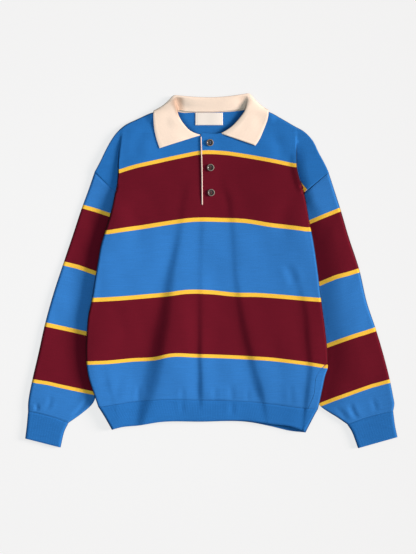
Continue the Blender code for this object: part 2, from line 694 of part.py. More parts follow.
def make_hem_rib():
    ends = ((-237.0, -285.4), (224.0, -288.4)), ((-209.0, -332.0), (198.0, -338.0))
    ribs = int((ends[1][1][0] - ends[1][0][0]) / RIB_PITCH)
    outer = []
    inner = []
    for share in (0.0, 1.0):
        left = np.array(ends[0][0]) * (1 - share) + np.array(ends[1][0]) * share
        right = np.array(ends[0][1]) * (1 - share) + np.array(ends[1][1]) * share
        walls = flat_ring(left, right, 0.0, np.linspace(0.0, 1.0, 2 * ribs + 1), hem_top, hem_bottom,
                          np.linspace(0.0, 1.0, 18), 2)
        shaped = []
        for ring in walls:
            points = np.array(ring)
            seam = height_of(HEM_SEAM, points[:, 0]) - SEAM
            front = height_of(HEM_FRONT, points[:, 0])
            back = height_of(HEM_BACK, points[:, 0])
            upper = np.arange(len(points)) <= 2 * ribs + 1
            points[:, 1] = seam * (1 - share) + np.where(upper, front, back) * share
            shaped.append([tuple(point) for point in points])
        outer.append(ribbed(shaped[0], 1, 2 * ribs - 1)[::-1])
        inner.append(shaped[1][::-1])
    ring_walls("hem_rib", outer, inner, smooth=False)


# ---- the two panels ------------------------------------------------------------------------------------
def below(table, limit):
    return [point for point in table if point[1] <= limit]


def shifted(line, distance):
    return np.asarray(line, float) + np.array([distance, 0.0])


def fold_lines(offsets):
    """Lines beside the two folds at the shoulders, at these distances towards the body."""
    lines = []
    for table, end, sign in ((LEFT_EDGE, LEFT_FOLD_END, 1.0), (RIGHT_EDGE, RIGHT_FOLD_END, -1.0)):
        part = [point for point in table if end + 2.0 < point[1] < FOLD_TOP + 5.0]
        for offset in offsets:
            lines.append(shifted(path(part, OUTLINE_STEP), sign * offset))
    return lines


def crease_lines():
    lines = []
    for x0, y0, x1, y1, bend, _, half in FOLDS:
        start = np.array([x0, y0], float)
        end = np.array([x1, y1], float)
        line = path([start, (start + end) / 2 + np.array([bend, 0.0]), end], 22.0)
        line = line[line[:, 1] > -262.0]
        for offset in (-1.9 * half, -half, 0.0, half, 1.9 * half):
            lines.append(shifted(line, offset))
    return lines


def hem_line(left, right):
    xs = np.linspace(left, right, int(abs(right - left) / OUTLINE_STEP) + 1)
    return np.column_stack([xs, height_of(HEM_SEAM, xs)])


def side_seam_lines(offsets):
    """Lines beside the right side seam, from where it leaves the edge down to the hem seam."""
    lines = []
    for offset in offsets:
        y = np.linspace(SIDE_SEAM[1][1], SIDE_SEAM[-1][1], 7)
        line = np.column_stack([edge_x(SIDE_SEAM, y) + offset, y])
        line[-1, 1] = height_of(HEM_SEAM, line[-1, 0])
        lines.append(line)
    return lines


def join(*stretches):
    """One closed outline from stretches that share their ends."""
    points = [tuple(point) for stretch in stretches for point in stretch]
    kept = [points[0]]
    for point in points[1:]:
        if math.dist(point, kept[-1]) > 0.05:
            kept.append(point)
    if math.dist(kept[0], kept[-1]) <= 0.05:
        kept.pop()
    return kept


def make_front():
    slit_y = np.linspace(SLIT[0][1], SLIT[-1][1], 9)
    slit = np.column_stack([slit_x(slit_y), slit_y])
    slit_right = shifted(slit, SEAM)[::-1]
    left_side = fold_end(LEFT_EDGE, LEFT_FOLD_END)
    right_side = fold_end([p for p in RIGHT_EDGE if p[1] > -193.0] + [SIDE_SEAM[0]], RIGHT_FOLD_END)
    side_seam = np.concatenate([[SIDE_SEAM[0]], side_seam_lines((-SEAM,))[0]])
    outline = join(
        path(LEFT_SHOULDER, OUTLINE_STEP), [LEFT_SHOULDER[-1], left_side[0]], left_side,
        hem_line(LEFT_EDGE[-1][0], side_seam[-1, 0]), side_seam[::-1], right_side[::-1],
        [right_side[0], RIGHT_SHOULDER[-1]], path(RIGHT_SHOULDER, OUTLINE_STEP)[::-1],
        path(RIGHT_NECK, OUTLINE_STEP)[::-1], slit_right[::-1][:-1], [slit[-1]], slit[::-1],
        path(LEFT_NECK, OUTLINE_STEP)[::-1])
    lines = fold_lines(FOLD_OFFSETS) + crease_lines()
    panel("body_front", outline, lines, front_top, front_bottom)


def make_back():
    left_side = fold_end(LEFT_EDGE, LEFT_FOLD_END)
    right_side = fold_end(RIGHT_EDGE, RIGHT_FOLD_END)
    strip = side_seam_lines((-0.2, 0.2))
    outline = join(
        path(LEFT_SHOULDER, OUTLINE_STEP), [LEFT_SHOULDER[-1], left_side[0]], left_side,
        hem_line(LEFT_EDGE[-1][0], strip[0][-1, 0]), hem_line(strip[1][-1, 0], RIGHT_EDGE[-1][0]),
        right_side[::-1],
        [right_side[0], RIGHT_SHOULDER[-1]], path(RIGHT_SHOULDER, OUTLINE_STEP)[::-1],
        path(BACK_NECK, OUTLINE_STEP)[::-1])
    armholes = hidden_armhole(LEFT_ARMHOLE, LEFT_UNDERARM, left_side)
    armholes += hidden_armhole(RIGHT_ARMHOLE, RIGHT_UNDERARM, right_side)
    inner = [shifted(path(LEFT_INNER[2:], 22.0), offset) for offset in (2.0, 2.0 + RAMP)]
    inner += [shifted(path(RIGHT_INNER[2:], 22.0), -offset) for offset in (2.0, 2.0 + RAMP)]
    fall_x = np.linspace(-118.0, 116.0, 15)
    fall = [np.column_stack([fall_x, fall_edge(fall_x) - offset]) for offset in (4.0, 20.0)]
    panel("body_back", outline, fold_lines(FOLD_OFFSETS) + inner + fall, back_top_with_strip,
          back_bottom, armholes + strip)


# ---- collar ----------------------------------------------------------------------------------------------
QUARTER = np.radians([30.0, 60.0, 90.0])


def stand(seam, roll, upright):
    """The band from the seam up to the top of its roll: upright at the front, leaning out behind."""
    t = np.linspace(0.0, 1.0, 5)
    out = upright * (1 - np.cos(t * math.pi / 2)) + (1 - upright) * t
    up = upright * np.sin(t * math.pi / 2) + (1 - upright) * step(t, 0.0, 1.0)
    return np.column_stack([seam[:2] + np.outer(out, (roll - seam)[:2]), seam[2] + up * (roll - seam)[2]])


def wing_section(row, upright):
    """The middle of the band across a wing: up from the seam, over the roll and out to the edge."""
    seam = np.array(row[0:3])
    roll = np.array(row[3:6])
    edge = np.array(row[6:8])
    turn = row[9]
    t = np.concatenate([turn * np.sin(QUARTER), turn + (1 - turn) * np.array([0.15, 0.3, 0.45, 0.7, 1.0])])
    plan = roll[:2] + np.outer(t, edge - roll[:2])
    if row[8] is None:
        lying = front_top(plan) + COLLAR_WALL / 2 + COLLAR_GAP
        last = lying[-1]
    else:
        lying = np.zeros(len(t))
        last = row[8]
    drop = (1 - row[11]) * step(t, 0.0, row[10]) + row[11] * (1 - np.sqrt(1 - t * t))
    high = np.maximum(roll[2] + (last - roll[2]) * drop, lying)
    return np.concatenate([stand(seam, roll, upright), np.column_stack([plan, high])])


def back_section(row):
    """The middle of the band behind the neck, whose fall is folded under the back."""
    seam = np.array(row[0:3])
    roll = np.array(row[3:6])
    turn = np.array(row[6:9])
    edge = np.array([row[9], row[10], UNDER])
    inward = (edge - turn)[:2] / np.linalg.norm((edge - turn)[:2])
    reach = min(ROLL_RADIUS, 0.75 * np.linalg.norm((edge - turn)[:2]))
    below = np.array([*(turn[:2] + inward * reach), UNDER])
    over = np.column_stack([roll[:2] + np.outer(np.sin(QUARTER), (turn - roll)[:2]),
                            roll[2] + (1 - np.cos(QUARTER)) * (turn - roll)[2]])
    back = np.column_stack([turn[:2] + np.outer(1 - np.cos(QUARTER), (below - turn)[:2]),
                            turn[2] + np.sin(QUARTER) * (below - turn)[2]])
    return np.concatenate([stand(seam, roll, 0.0), over, back, [(below + edge) / 2, edge]])


def make_collar():
    leaning = np.concatenate([np.ones(5), [0.7, 0.45, 0.2]])
    sections = [wing_section(row, upright) for row, upright in zip(LEFT_WING, leaning)]
    sections += [back_section(row) for row in BACK_FALL]
    sections += [wing_section(row, upright) for row, upright in zip(RIGHT_WING, leaning[::-1])]
    rows = np.array(sections)
    grid = np.empty((2 * len(rows) - 1, *rows.shape[1:]))
    grid[::2] = rows
    grid[1::2] = (rows[1:] + rows[:-1]) / 2
    grid[1:-1] = (grid[:-2] + 2 * grid[1:-1] + grid[2:]) / 4
    grid_wall("collar", grid, COLLAR_WALL)


# ---- small pieces ------------------------------------------------------------------------------------------
def make_edging():
    """The cream strip beside the slit, lying on the left side of it."""
    y = np.linspace(EDGING_TOP, SLIT[-1][1], 9)
    line = np.column_stack([slit_x(y), y])
    left = shifted(line, -EDGING_WIDE - 0.3)
    right = shifted(line, -0.3)
    low_left = front_top(left) + 0.35
    low_right = front_top(right) + 0.35
    high = PLACKET_LIFT - 0.1
    vertices = []
    for i in range(len(line)):
        vertices += [(*left[i], low_left[i]), (*right[i], low_right[i]),
                     (*right[i], low_right[i] + high), (*left[i], low_left[i] + high)]
    faces = [(0, 3, 2, 1)]
    for i in range(len(line) - 1):
        a = 4 * i
        for k in range(4):
            m = (k + 1) % 4
            faces.append((a + k, a + 4 + k, a + 4 + m, a + m)[::-1])
    end = 4 * (len(line) - 1)
    faces.append((end, end + 1, end + 2, end + 3))
    return make_object("placket_edging", vertices, faces, smooth=False)


def make_label():
    cx, cy = LABEL_CENTRE
    xs = cx + np.linspace(-LABEL_WIDE / 2, LABEL_WIDE / 2, 5)
    ys = cy + np.linspace(-LABEL_LONG / 2, LABEL_LONG / 2, 3)
    plan = np.array([(x, y) for y in ys for x in xs])
    low = back_top(plan) + 0.35
    count = len(plan)
    vertices = np.concatenate([np.column_stack([plan, low + LABEL_THICK]), np.column_stack([plan, low])])
    faces = []
    for r in range(2):
        for c in range(4):
            a = r * 5 + c
            quad = (a, a + 1, a + 6, a + 5)
            faces.append(quad)
            faces.append(tuple(count + index for index in reversed(quad)))
    rim = [0, 1, 2, 3, 4, 9, 14, 13, 12, 11, 10, 5]
    for here, after in zip(rim, rim[1:] + rim[:1]):
        faces.append((here, here + count, after + count, after))
    return make_object("neck_label", vertices, faces, smooth=False)


def make_button(name, x, y):
    """A turned button with a raised rim, a dished middle and four holes."""
    radius = BUTTON_ACROSS / 2
    profile = [(0.0, 0.0), (radius - 1.6, 0.0), (radius, 1.2), (radius - 0.3, 2.5), (radius - 1.1, BUTTON_THICK),
               (radius - 2.2, 2.4), (radius - 3.0, 1.7), (0.0, 1.6)]
    sides = BUTTON_SIDES
    around = np.array([[x - 5, y], [x + 5, y], [x, y - 5], [x, y + 5], [x, y]])
    seat = float(front_top(around).max()) + 0.3
    vertices = [(x, y, seat)]
    for r, z in profile[1:-1]:
        for k in range(sides):
            angle = 2 * math.pi * k / sides
            vertices.append((x + r * math.cos(angle), y + r * math.sin(angle), seat + z))
    vertices.append((x, y, seat + profile[-1][1]))
    faces = []
    for k in range(sides):
        m = (k + 1) % sides
        faces.append((0, 1 + m, 1 + k))
        for ring in range(len(profile) - 3):
            a = 1 + ring * sides
            faces.append((a + k, a + m, a + sides + m, a + sides + k))
        last = 1 + (len(profile) - 3) * sides
        faces.append((last + k, last + m, len(vertices) - 1))
    button = make_object(name, vertices, faces)
    for sx in (-1, 1):
        for sy in (-1, 1):
            bpy.ops.mesh.primitive_cylinder_add(
                vertices=6, radius=BUTTON_HOLE / 2 * MM, depth=10 * MM,
                location=((x + sx * BUTTON_HOLE_APART / 2) * MM, (y + sy * BUTTON_HOLE_APART / 2) * MM,
                          (seat + 1.0) * MM), rotation=(0.0, 0.0, 0.2))
            cutter = bpy.context.active_object
            cutter.name = f"{name}_cutter_{sx}_{sy}"
            cutter.hide_render = True
            cutter.display_type = "WIRE"
            cut = button.modifiers.new("hole", "BOOLEAN")
            cut.operation = "DIFFERENCE"
            cut.solver = "EXACT"
            cut.object = cutter
    return button


def main():
    for thing in list(bpy.data.objects):
        bpy.data.objects.remove(thing, do_unlink=True)
    make_back()
    make_front()
    make_sleeves()
    make_cuffs()
    make_hem_rib()
    make_collar()
    make_edging()
    make_label()
    for name, x, y in BUTTONS:
        make_button(name, x, y)


main()
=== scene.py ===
"""Looks of the knitted polo sweater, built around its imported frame.

Tables are in millimetres in the frame's own axes: x to the right, y towards the collar, z up from the
surface. They repeat the part's driving sizes, and the shells follow its solids at a finer step.
"""
import math

import bmesh
import bpy
import numpy as np
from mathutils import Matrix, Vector
from mathutils.geometry import delaunay_2d_cdt
from mathutils.kdtree import KDTree


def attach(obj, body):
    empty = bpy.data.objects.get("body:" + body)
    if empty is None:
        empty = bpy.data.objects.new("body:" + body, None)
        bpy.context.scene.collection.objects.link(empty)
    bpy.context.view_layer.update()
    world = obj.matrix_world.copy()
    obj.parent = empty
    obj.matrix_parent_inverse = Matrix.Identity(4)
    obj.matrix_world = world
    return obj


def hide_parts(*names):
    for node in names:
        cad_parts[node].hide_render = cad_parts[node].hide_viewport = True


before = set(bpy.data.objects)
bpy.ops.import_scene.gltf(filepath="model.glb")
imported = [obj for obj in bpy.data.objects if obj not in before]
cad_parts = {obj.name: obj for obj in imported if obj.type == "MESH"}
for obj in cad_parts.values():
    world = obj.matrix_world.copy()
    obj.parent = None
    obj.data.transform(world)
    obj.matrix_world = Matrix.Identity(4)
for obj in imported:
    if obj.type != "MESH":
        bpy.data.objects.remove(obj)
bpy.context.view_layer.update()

MM = 0.001

# ---- driving sizes ----------------------------------------------------------
WALL = 2.4              # knitted cloth
SEAM = 0.4              # gap between two pieces that are sewn together
CLEAR = 0.3             # gap between two layers that lie on each other
AIR = 2.8               # air between the front and the back of the body
SLEEVE_LOW = 6.0        # height of a sleeve where the body lies on it
SLEEVE_HIGH = 8.2       # height of a sleeve where it lies free
LIFTED = SLEEVE_LOW + CLEAR     # a tucked sleeve lifts the body this far
RAMP = 25.0             # width in which the body comes down from a sleeve
DRAPE = 145.0           # the same for the front, which spans the step
SHOULDER_RAMP = 70.0    # length in which both of these begin, below the top of the fold
MIDDLE_FULL = 0.75      # the body's middle lies on air this share of a sleeve's height
HEM_FULL = 0.75         # share of that which is left at the hem seam
THINNEST = 0.9          # the front's cloth, where it is squeezed or comes to an edge
SLEEVE_WALL = 1.6
EDGE_ROUND = 2.5        # how far in from a folded edge the cloth is rounded
FALL_LIFT = 2.9         # the back of the body lies this high on the folded collar
COLLAR_WALL = 1.8
COLLAR_GAP = 0.4        # between a wing and the front under it
ROLL_RADIUS = 6.0       # of the collar's roll behind the neck
LATTICE = 3.6           # spacing of the points inside a panel
OUTLINE_STEP = 4.0      # spacing of the points along a panel's outline
FOLD_OFFSETS = (-0.6, 1.2, 2.8, 4.4, 6.0)       # lines beside a fold, towards the body
LINE_MARGIN = 0.9       # a line inside a panel ends this far from its outline
RIB_PITCH = 4.9
BUTTON_ACROSS = 15.2
BUTTON_HOLE_APART = 3.0
PLACKET_LIFT = 1.0      # the right side of the slit lies on the left side
EDGING_TOP = 283.0
LABEL_WIDE = 58.0
LABEL_LONG = 26.0
LABEL_THICK = 0.9

# ---- outlines: x, y ---------------------------------------------------------
LEFT_SHOULDER = [(-75, 338), (-100, 337), (-123, 334), (-154, 321), (-185, 305), (-198, 293),
                 (-211, 275), (-223, 253), (-234, 230), (-246, 208)]
RIGHT_SHOULDER = [(76, 341), (100, 339), (121, 335), (150, 320), (174, 306), (195, 294),
                  (213, 275), (226, 249), (239, 225), (247, 207.5)]
# The body's folded edge, from the top of the fold at the shoulder down to the hem rib.
LEFT_EDGE = [(-190, 283), (-194, 255), (-196, 230), (-196.5, 203), (-198, 186), (-202, 165),
             (-205, 150), (-212, 119), (-222, 87), (-232, 54), (-238, 20), (-246, -28), (-251, -60),
             (-258, -91), (-261, -123), (-263, -165), (-261, -203), (-257, -224), (-248, -252),
             (-237, -285)]
RIGHT_EDGE = [(179, 283), (180, 247), (180, 223), (183, 206), (189, 185), (195, 162),
              (199, 143), (205, 109), (213.5, 66), (222, 9.5), (230, -56), (239, -123),
              (244, -180), (244, -203), (239, -219), (234.5, -240), (229, -266), (224, -288)]
# The armhole's seam as far as it shows; under the body it runs on, this many times as long in all.
LEFT_ARMHOLE = [(-246, 208), (-202, 165)]
RIGHT_ARMHOLE = [(247, 207.5), (195, 162)]
LEFT_ARMHOLE_LENGTH = 2.48
RIGHT_ARMHOLE_LENGTH = 2.17
FOLD_TOP = 283.0
LEFT_FOLD_END = 165.0                           # below this the folded edge is the panel's edge
RIGHT_FOLD_END = 162.0
LEFT_NECK = [(-75, 338), (-67, 316), (-54, 299), (-43, 289), (-25, 285)]
RIGHT_NECK = [(-20, 290.5), (16, 290), (33, 294), (47.5, 303.5), (62, 321), (76, 341)]
BACK_NECK = [(-75, 338), (-69, 335.5), (-35, 334), (24, 335), (65, 338.5), (76, 341)]
SLIT = [(-22.5, 285), (-20.5, 210), (-19.8, 140)]
SIDE_SEAM = [(244, -192), (232, -203), (223, -215), (215, -257), (203, -287.2)]
STRIP_RISE = 30.0       # length in which the strip beyond the side seam comes up to the front
# y of the hem seam and of the two lower edges at each x
HEM_SEAM = [(-237, -285), (-207, -280), (-116, -269), (-22, -270), (73, -273), (117, -277),
            (203, -287.2), (224, -288)]
HEM_FRONT = [(-209, -332), (-190, -327), (-152, -323), (-108, -316), (-24, -314.5), (81, -314),
             (127, -320.5), (165, -325), (198, -336)]
HEM_BACK = [(-209, -333), (-190, -328), (-152, -324), (-108, -317), (-24, -316), (81, -317),
            (127, -326), (165, -335), (198, -338.5)]


def underarm(armhole, length):
    """Where the armhole's seam ends, under the body."""
    (x0, y0), (x1, y1) = armhole
    return (x0 + (x1 - x0) * length, y0 + (y1 - y0) * length)


LEFT_UNDERARM = underarm(LEFT_ARMHOLE, LEFT_ARMHOLE_LENGTH)
RIGHT_UNDERARM = underarm(RIGHT_ARMHOLE, RIGHT_ARMHOLE_LENGTH)

# ---- sleeves: outer edge x, y, inner edge x, y, bow of the section ----------
LEFT_SLEEVE = [
    (*LEFT_ARMHOLE[0], *LEFT_UNDERARM, 0.0),
    (-258.0, 173.0, -135.5, 93.0, 2.0),
    (-271.6, 136.0, -134.5, 81.0, 4.0),
    (-290.5, 79.0, -139.0, 42.0, 0.0),
    (-311.5, 16.5, -153.0, -26.5, 0.0),
    (-332.5, -47.0, -177.0, -85.0, 0.0),
    (-350.0, -110.0, -203.0, -144.0, 0.0),
    (-364.0, -173.0, -225.5, -205.0, 0.0),
    (-377.0, -229.5, -241.0, -256.5, 0.0),
    (-383.0, -259.0, -250.5, -279.0, 0.0),
    (-385.5, -279.0, -273.0, -299.0, 0.0),
    (-385.5, -293.5, -300.5, -318.5, 3.0)]
LEFT_CUFF = [
    (-385.5, -293.9, -300.5, -318.9, 3.0),
    (-388.0, -322.0, -309.0, -336.5, 1.0),
    (-391.5, -351.0, -317.0, -370.0, 0.0)]
RIGHT_SLEEVE = [
    (*RIGHT_ARMHOLE[0], *RIGHT_UNDERARM, 0.0),
    (259.5, 169.0, 132.5, 92.0, 2.0),
    (272.3, 129.0, 131.5, 74.5, 3.0),
    (287.0, 79.0, 136.0, 28.5, 0.0),
    (312.0, 1.5, 152.5, -53.5, 0.0),
    (327.0, -64.0, 171.5, -114.5, 0.0),
    (346.0, -121.5, 192.5, -174.5, 0.0),
    (362.5, -177.5, 211.5, -230.0, 0.0),
    (376.0, -231.0, 228.0, -281.5, 0.0),
    (382.5, -263.5, 245.5, -295.0, 0.0),
    (385.0, -278.5, 265.0, -307.0, 0.0),
    (382.5, -293.5, 286.0, -321.5, 3.0)]
RIGHT_CUFF = [
    (382.5, -293.9, 286.0, -321.9, 3.0),
    (386.0, -321.5, 295.5, -337.0, 1.0),
    (391.5, -348.0, 308.5, -371.5, 0.0)]

# ---- collar: one row for each section, from its left front end round the neck to its right one 
# A wing's row: seam x, y, z, top of the roll x, y, z, outer edge x, y, z (None: it lies on the front),
# place of the turn and length of the slope as shares of the way to the edge, roundness of the slope.
LEFT_WING = [
    (-22.3, 286.3, 6.8, -26.4, 284.6, 11.0, -108.4, 258.6, None, 0.24, 0.55, 0.0),
    (-41.5, 292.0, 6.8, -45.6, 290.5, 14.0, -113.0, 271.0, None, 0.24, 0.55, 0.0),
    (-52.5, 301.5, 6.8, -56.6, 300.3, 15.5, -117.0, 284.0, None, 0.24, 0.55, 0.0),
    (-65.0, 318.0, 6.8, -69.0, 316.8, 17.0, -120.5, 302.0, None, 0.24, 0.55, 0.0),
    (-71.0, 331.0, 6.7, -74.9, 330.0, 18.0, -121.5, 318.0, None, 0.26, 0.55, 0.1),
    (-71.0, 335.5, 6.3, -76.0, 345.0, 17.8, -122.0, 329.0, None, 0.35, 0.6, 0.25),
    (-69.5, 338.3, 5.6, -78.0, 352.0, 17.3, -121.8, 336.5, 9.5, 0.55, 0.8, 0.5),
    (-67.5, 339.3, 5.1, -78.5, 356.0, 16.5, -121.0, 338.0, 6.5, 0.85, 1.0, 0.85)]
RIGHT_WING = [
    (68.3, 343.0, 5.1, 78.0, 359.0, 16.5, 119.5, 339.8, 6.5, 0.85, 1.0, 0.85),
    (70.5, 341.8, 5.6, 77.5, 355.0, 17.3, 120.0, 338.0, 9.5, 0.55, 0.8, 0.5),
    (71.0, 338.5, 6.3, 75.5, 348.5, 17.8, 120.0, 331.0, None, 0.35, 0.6, 0.25),
    (69.0, 334.0, 6.7, 72.9, 333.0, 18.0, 119.0, 321.0, None, 0.26, 0.55, 0.1),
    (59.5, 321.5, 6.8, 63.5, 320.4, 17.0, 114.0, 307.0, None, 0.24, 0.55, 0.0),
    (45.5, 305.5, 6.8, 49.6, 304.4, 15.5, 107.5, 291.5, None, 0.24, 0.55, 0.0),
    (32.5, 296.5, 6.8, 36.6, 295.3, 14.0, 102.0, 277.5, None, 0.24, 0.55, 0.0),
    (19.8, 289.4, 6.8, 23.9, 287.5, 11.0, 92.5, 264.0, None, 0.24, 0.55, 0.0)]
# A row behind the neck: seam x, y, z, top of the roll x, y, z, outermost point of the turn x, y, z, edge
# x, y. From the turn on, the fall passes under the back at the height UNDER.
BACK_FALL = [
    (-65.0, 339.3, 4.7, -77.5, 359.5, 15.8, -114.3, 341.3, 5.0, -117.8, 338.9),
    (-62.5, 338.8, 4.4, -77.0, 362.5, 15.2, -107.0, 344.3, 6.8, -112.5, 331.0),
    (-59.5, 338.0, 4.1, -76.0, 365.0, 14.3, -93.5, 354.8, 7.0, -98.0, 323.0),
    (-56.0, 337.3, 4.1, -74.0, 366.3, 13.6, -84.8, 364.6, 7.1, -86.0, 319.5),
    (-52.0, 337.0, 4.1, -70.0, 366.2, 12.6, -79.2, 370.6, 7.2, -77.0, 317.5),
    (-45.0, 336.7, 4.1, -60.0, 364.5, 11.4, -70.0, 369.4, 7.2, -66.0, 316.5),
    (-33.0, 336.3, 4.1, -40.0, 361.7, 10.4, -46.0, 367.0, 7.2, -44.0, 315.5),
    (-12.0, 336.0, 4.1, -14.0, 360.7, 10.0, -15.0, 365.2, 7.2, -15.0, 315.0),
    (12.0, 336.5, 4.1, 14.0, 361.0, 10.0, 15.0, 365.5, 7.2, 15.0, 315.0),
    (33.0, 338.0, 4.1, 40.0, 363.7, 10.4, 46.0, 368.8, 7.2, 44.0, 315.8),
    (46.0, 339.6, 4.1, 59.0, 366.8, 11.4, 69.5, 372.6, 7.2, 66.0, 316.8),
    (52.0, 340.3, 4.1, 69.5, 368.5, 12.6, 79.8, 374.6, 7.2, 77.0, 317.8),
    (56.0, 340.8, 4.1, 73.5, 368.3, 13.6, 86.0, 368.0, 7.1, 86.0, 320.5),
    (59.5, 341.4, 4.1, 75.5, 366.8, 14.3, 93.0, 358.8, 7.0, 97.5, 323.5),
    (62.5, 342.3, 4.4, 76.5, 364.8, 15.2, 106.0, 347.0, 6.8, 111.5, 331.5),
    (65.5, 343.0, 4.7, 77.5, 362.0, 15.8, 113.0, 342.9, 5.0, 117.2, 340.0)]
UNDER = 1.3

# ---- folds of the front, from the top down: x, y, height, half width --------
# Each is a soft step: a trough on its left and a ridge on its right.
FOLDS = [
    [(-45, 205, 0.0, 12), (-57, 150, 0.9, 12), (-66, 95, 1.5, 12), (-75, 44, 2.5, 12), (-84, 3, 3.5, 14),
     (-94, -60, 4.5, 18), (-104, -123, 6.4, 22), (-111, -160, 6.3, 22), (-119, -202, 6.7, 25),
     (-127, -238, 6.2, 24), (-136, -268, 4.7, 20), (-144, -295, 3.9, 16), (-151, -325, 2.0, 12)],
    [(-19, 128, 0.0, 7), (-20, 92, 0.6, 7), (-23, 28, 0.5, 8), (-24, -60, 1.1, 9), (-24, -133, 1.8, 8),
     (-24.5, -175, 2.0, 7), (-23, -217, 2.0, 7), (-22, -260, 2.0, 7), (-21.5, -274, 0.9, 6),
     (-21, -295, 0.0, 6)],
    [(22, 205, 0.0, 9), (30, 172, 0.6, 9), (38, 140, 0.8, 9), (45, 85, 0.95, 9), (48, 36, 1.0, 9),
     (51, -10, 1.2, 9), (57, -60, 1.5, 10), (69, -123, 2.2, 12), (80, -170, 2.4, 12), (92, -217, 2.6, 12),
     (103, -252, 3.0, 11), (109, -274, 1.5, 8), (116, -312, 0.3, 7)],
    [(172, 20, 0.0, 8), (184, -30, 0.8, 10), (194, -70, 1.4, 10), (199, -102, 1.6, 10), (201, -135, 1.6, 9),
     (204, -165, 1.6, 9), (207, -205, 1.9, 9), (202, -250, 2.1, 8), (198, -284, 1.2, 5),
     (194, -320, 0.5, 5)],
    [(132, -100, 0.0, 14), (141, -160, 0.3, 15), (150, -215, 0.4, 14), (156, -262, 0.4, 10),
     (160, -282, 0.0, 8)],
    [(-222, -195, 0.0, 7), (-217, -228, 0.45, 7), (-208, -262, 0.5, 6), (-203, -284, 0.2, 6)]]
TROUGH = (0.85, 2.3)    # depth as a share of the height, and how many half widths its outer side takes
RIDGE = (1.15, 3.0)     # the same of the ridge
FOLD_APART = 0.8        # the trough and the ridge lie this many half widths from the fold's line
FOLD_GAIN = 0.8         # of all the heights

# ---- buttons: name, x, y ----------------------------------------------------
BUTTONS = [("button_top", -2.8, 270.3), ("button_middle", -1.6, 217.8), ("button_bottom", -0.3, 165.3)]
LABEL_CENTRE = (-4.9, 320.5)

# ---- stripes: centre line of each yellow line, x, y, from the top down ------
LINE_WIDTH = 8.6
LINE_DROP = 0.9                     # the lines lie this far below these points
LINE_TRIM = (0.25, 0.0, 0.0, 0.6)   # what each side of each line is narrower by
FAR_ABOVE = -60.0                   # stands for cloth that is well above a line
BODY_LINES = [
    [(-192, 211), (-167, 219), (-116, 231), (-66, 242), (-15, 251), (22, 250), (73, 243), (123, 234),
     (174, 223.5)],
    [(-217, 83), (-192, 87), (-141, 94.5), (-91, 102.5), (-41, 109), (22, 109), (73, 106.5), (123, 98.5),
     (174, 92.5), (199, 89)],
    [(-242, -58.5), (-204, -56.5), (-129, -50.5), (-91, -47), (-53, -42), (-3, -42.5), (48, -47.5),
     (98, -48.5), (148, -52), (199, -56.5), (224, -58.5)],
    [(-255, -191), (-217, -189.5), (-167, -185), (-116, -181.5), (-91, -175.5), (-28, -176), (22, -177.5),
     (73, -180), (123, -183), (174, -189), (224, -196), (237, -198.5)]]
WING_LINE = [(170.0, 208.0), (190.2, 180.6), (201.0, 167.5), (222.0, 142.0)]     # on the right shoulder
LEFT_LINES = [
    [(-267, 136.5), (-242, 129.5), (-217, 121)],
    [(-305, 16.5), (-280, 10.5), (-255, 1.5)],
    [(-343, -111.5), (-318, -117), (-293, -122.5), (-267, -128.5)],
    [(-368, -230), (-343, -234), (-318, -240), (-293, -245.5), (-255, -253.5)]]
RIGHT_LINES = [
    [(211, 106.5), (237, 117.5), (262, 127.5)],
    [(237, -21), (262, -10.5), (287, -4), (300, 0)],
    [(249, -153), (274, -143.5), (300, -134.5), (325, -127), (337, -123)],
    [(237, -276), (262, -266), (287, -257), (312, -248), (337, -239.5), (363, -232.5)]]


# ---- curves -----------------------------------------------------------------
def step(value, low, high):
    """0 below low, 1 above high, smooth between."""
    t = np.clip((np.asarray(value, float) - low) / (high - low), 0.0, 1.0)
    return t * t * (3.0 - 2.0 * t)


def share_of(low, high, share):
    """A value on the way from low to high."""
    return low + (high - low) * share


def spline(knots, values, at):
    """A smooth curve through the values (one row for each knot), read at the places given."""
    knots = np.asarray(knots, float)
    values = np.asarray(values, float)
    at = np.clip(at, knots[0], knots[-1])
    slopes = np.gradient(values, knots, axis=0)
    index = np.clip(np.searchsorted(knots, at, side="right") - 1, 0, len(knots) - 2)
    width = knots[index + 1] - knots[index]
    t = (at - knots[index]) / width
    if values.ndim == 2:
        width = width[:, None]
        t = t[:, None]
    start = (1 + 2 * t) * (1 - t) ** 2 * values[index] + t * (1 - t) ** 2 * width * slopes[index]
    end = t * t * (3 - 2 * t) * values[index + 1] + t * t * (t - 1) * width * slopes[index + 1]
    return start + end


def lengths_along(points):
    """How far along a line each of its points lies."""
    return np.concatenate([[0.0], np.cumsum(np.linalg.norm(np.diff(points, axis=0), axis=1))])


def path(points, spacing):
    """A smooth line through the points, with a point about every spacing."""
    points = np.asarray(points, float)
    reach = lengths_along(points)
    count = max(2, int(math.ceil(reach[-1] / spacing)) + 1)
    return spline(reach, points, np.linspace(0.0, reach[-1], count))


def height_of(table, x):
    """y of a line given as a table of x, y that runs to the right."""
    table = np.asarray(table, float)
    return spline(table[:, 0], table[:, 1], np.asarray(x, float))


def edge_x(table, y):
    """x of one of the body's folded edges at a height y."""
    table = np.asarray(table, float)[::-1]
    return spline(table[:, 1], table[:, 0], np.asarray(y, float))


def slit_x(y):
    """x of the placket's slit at a height y."""
    return edge_x(SLIT, y)


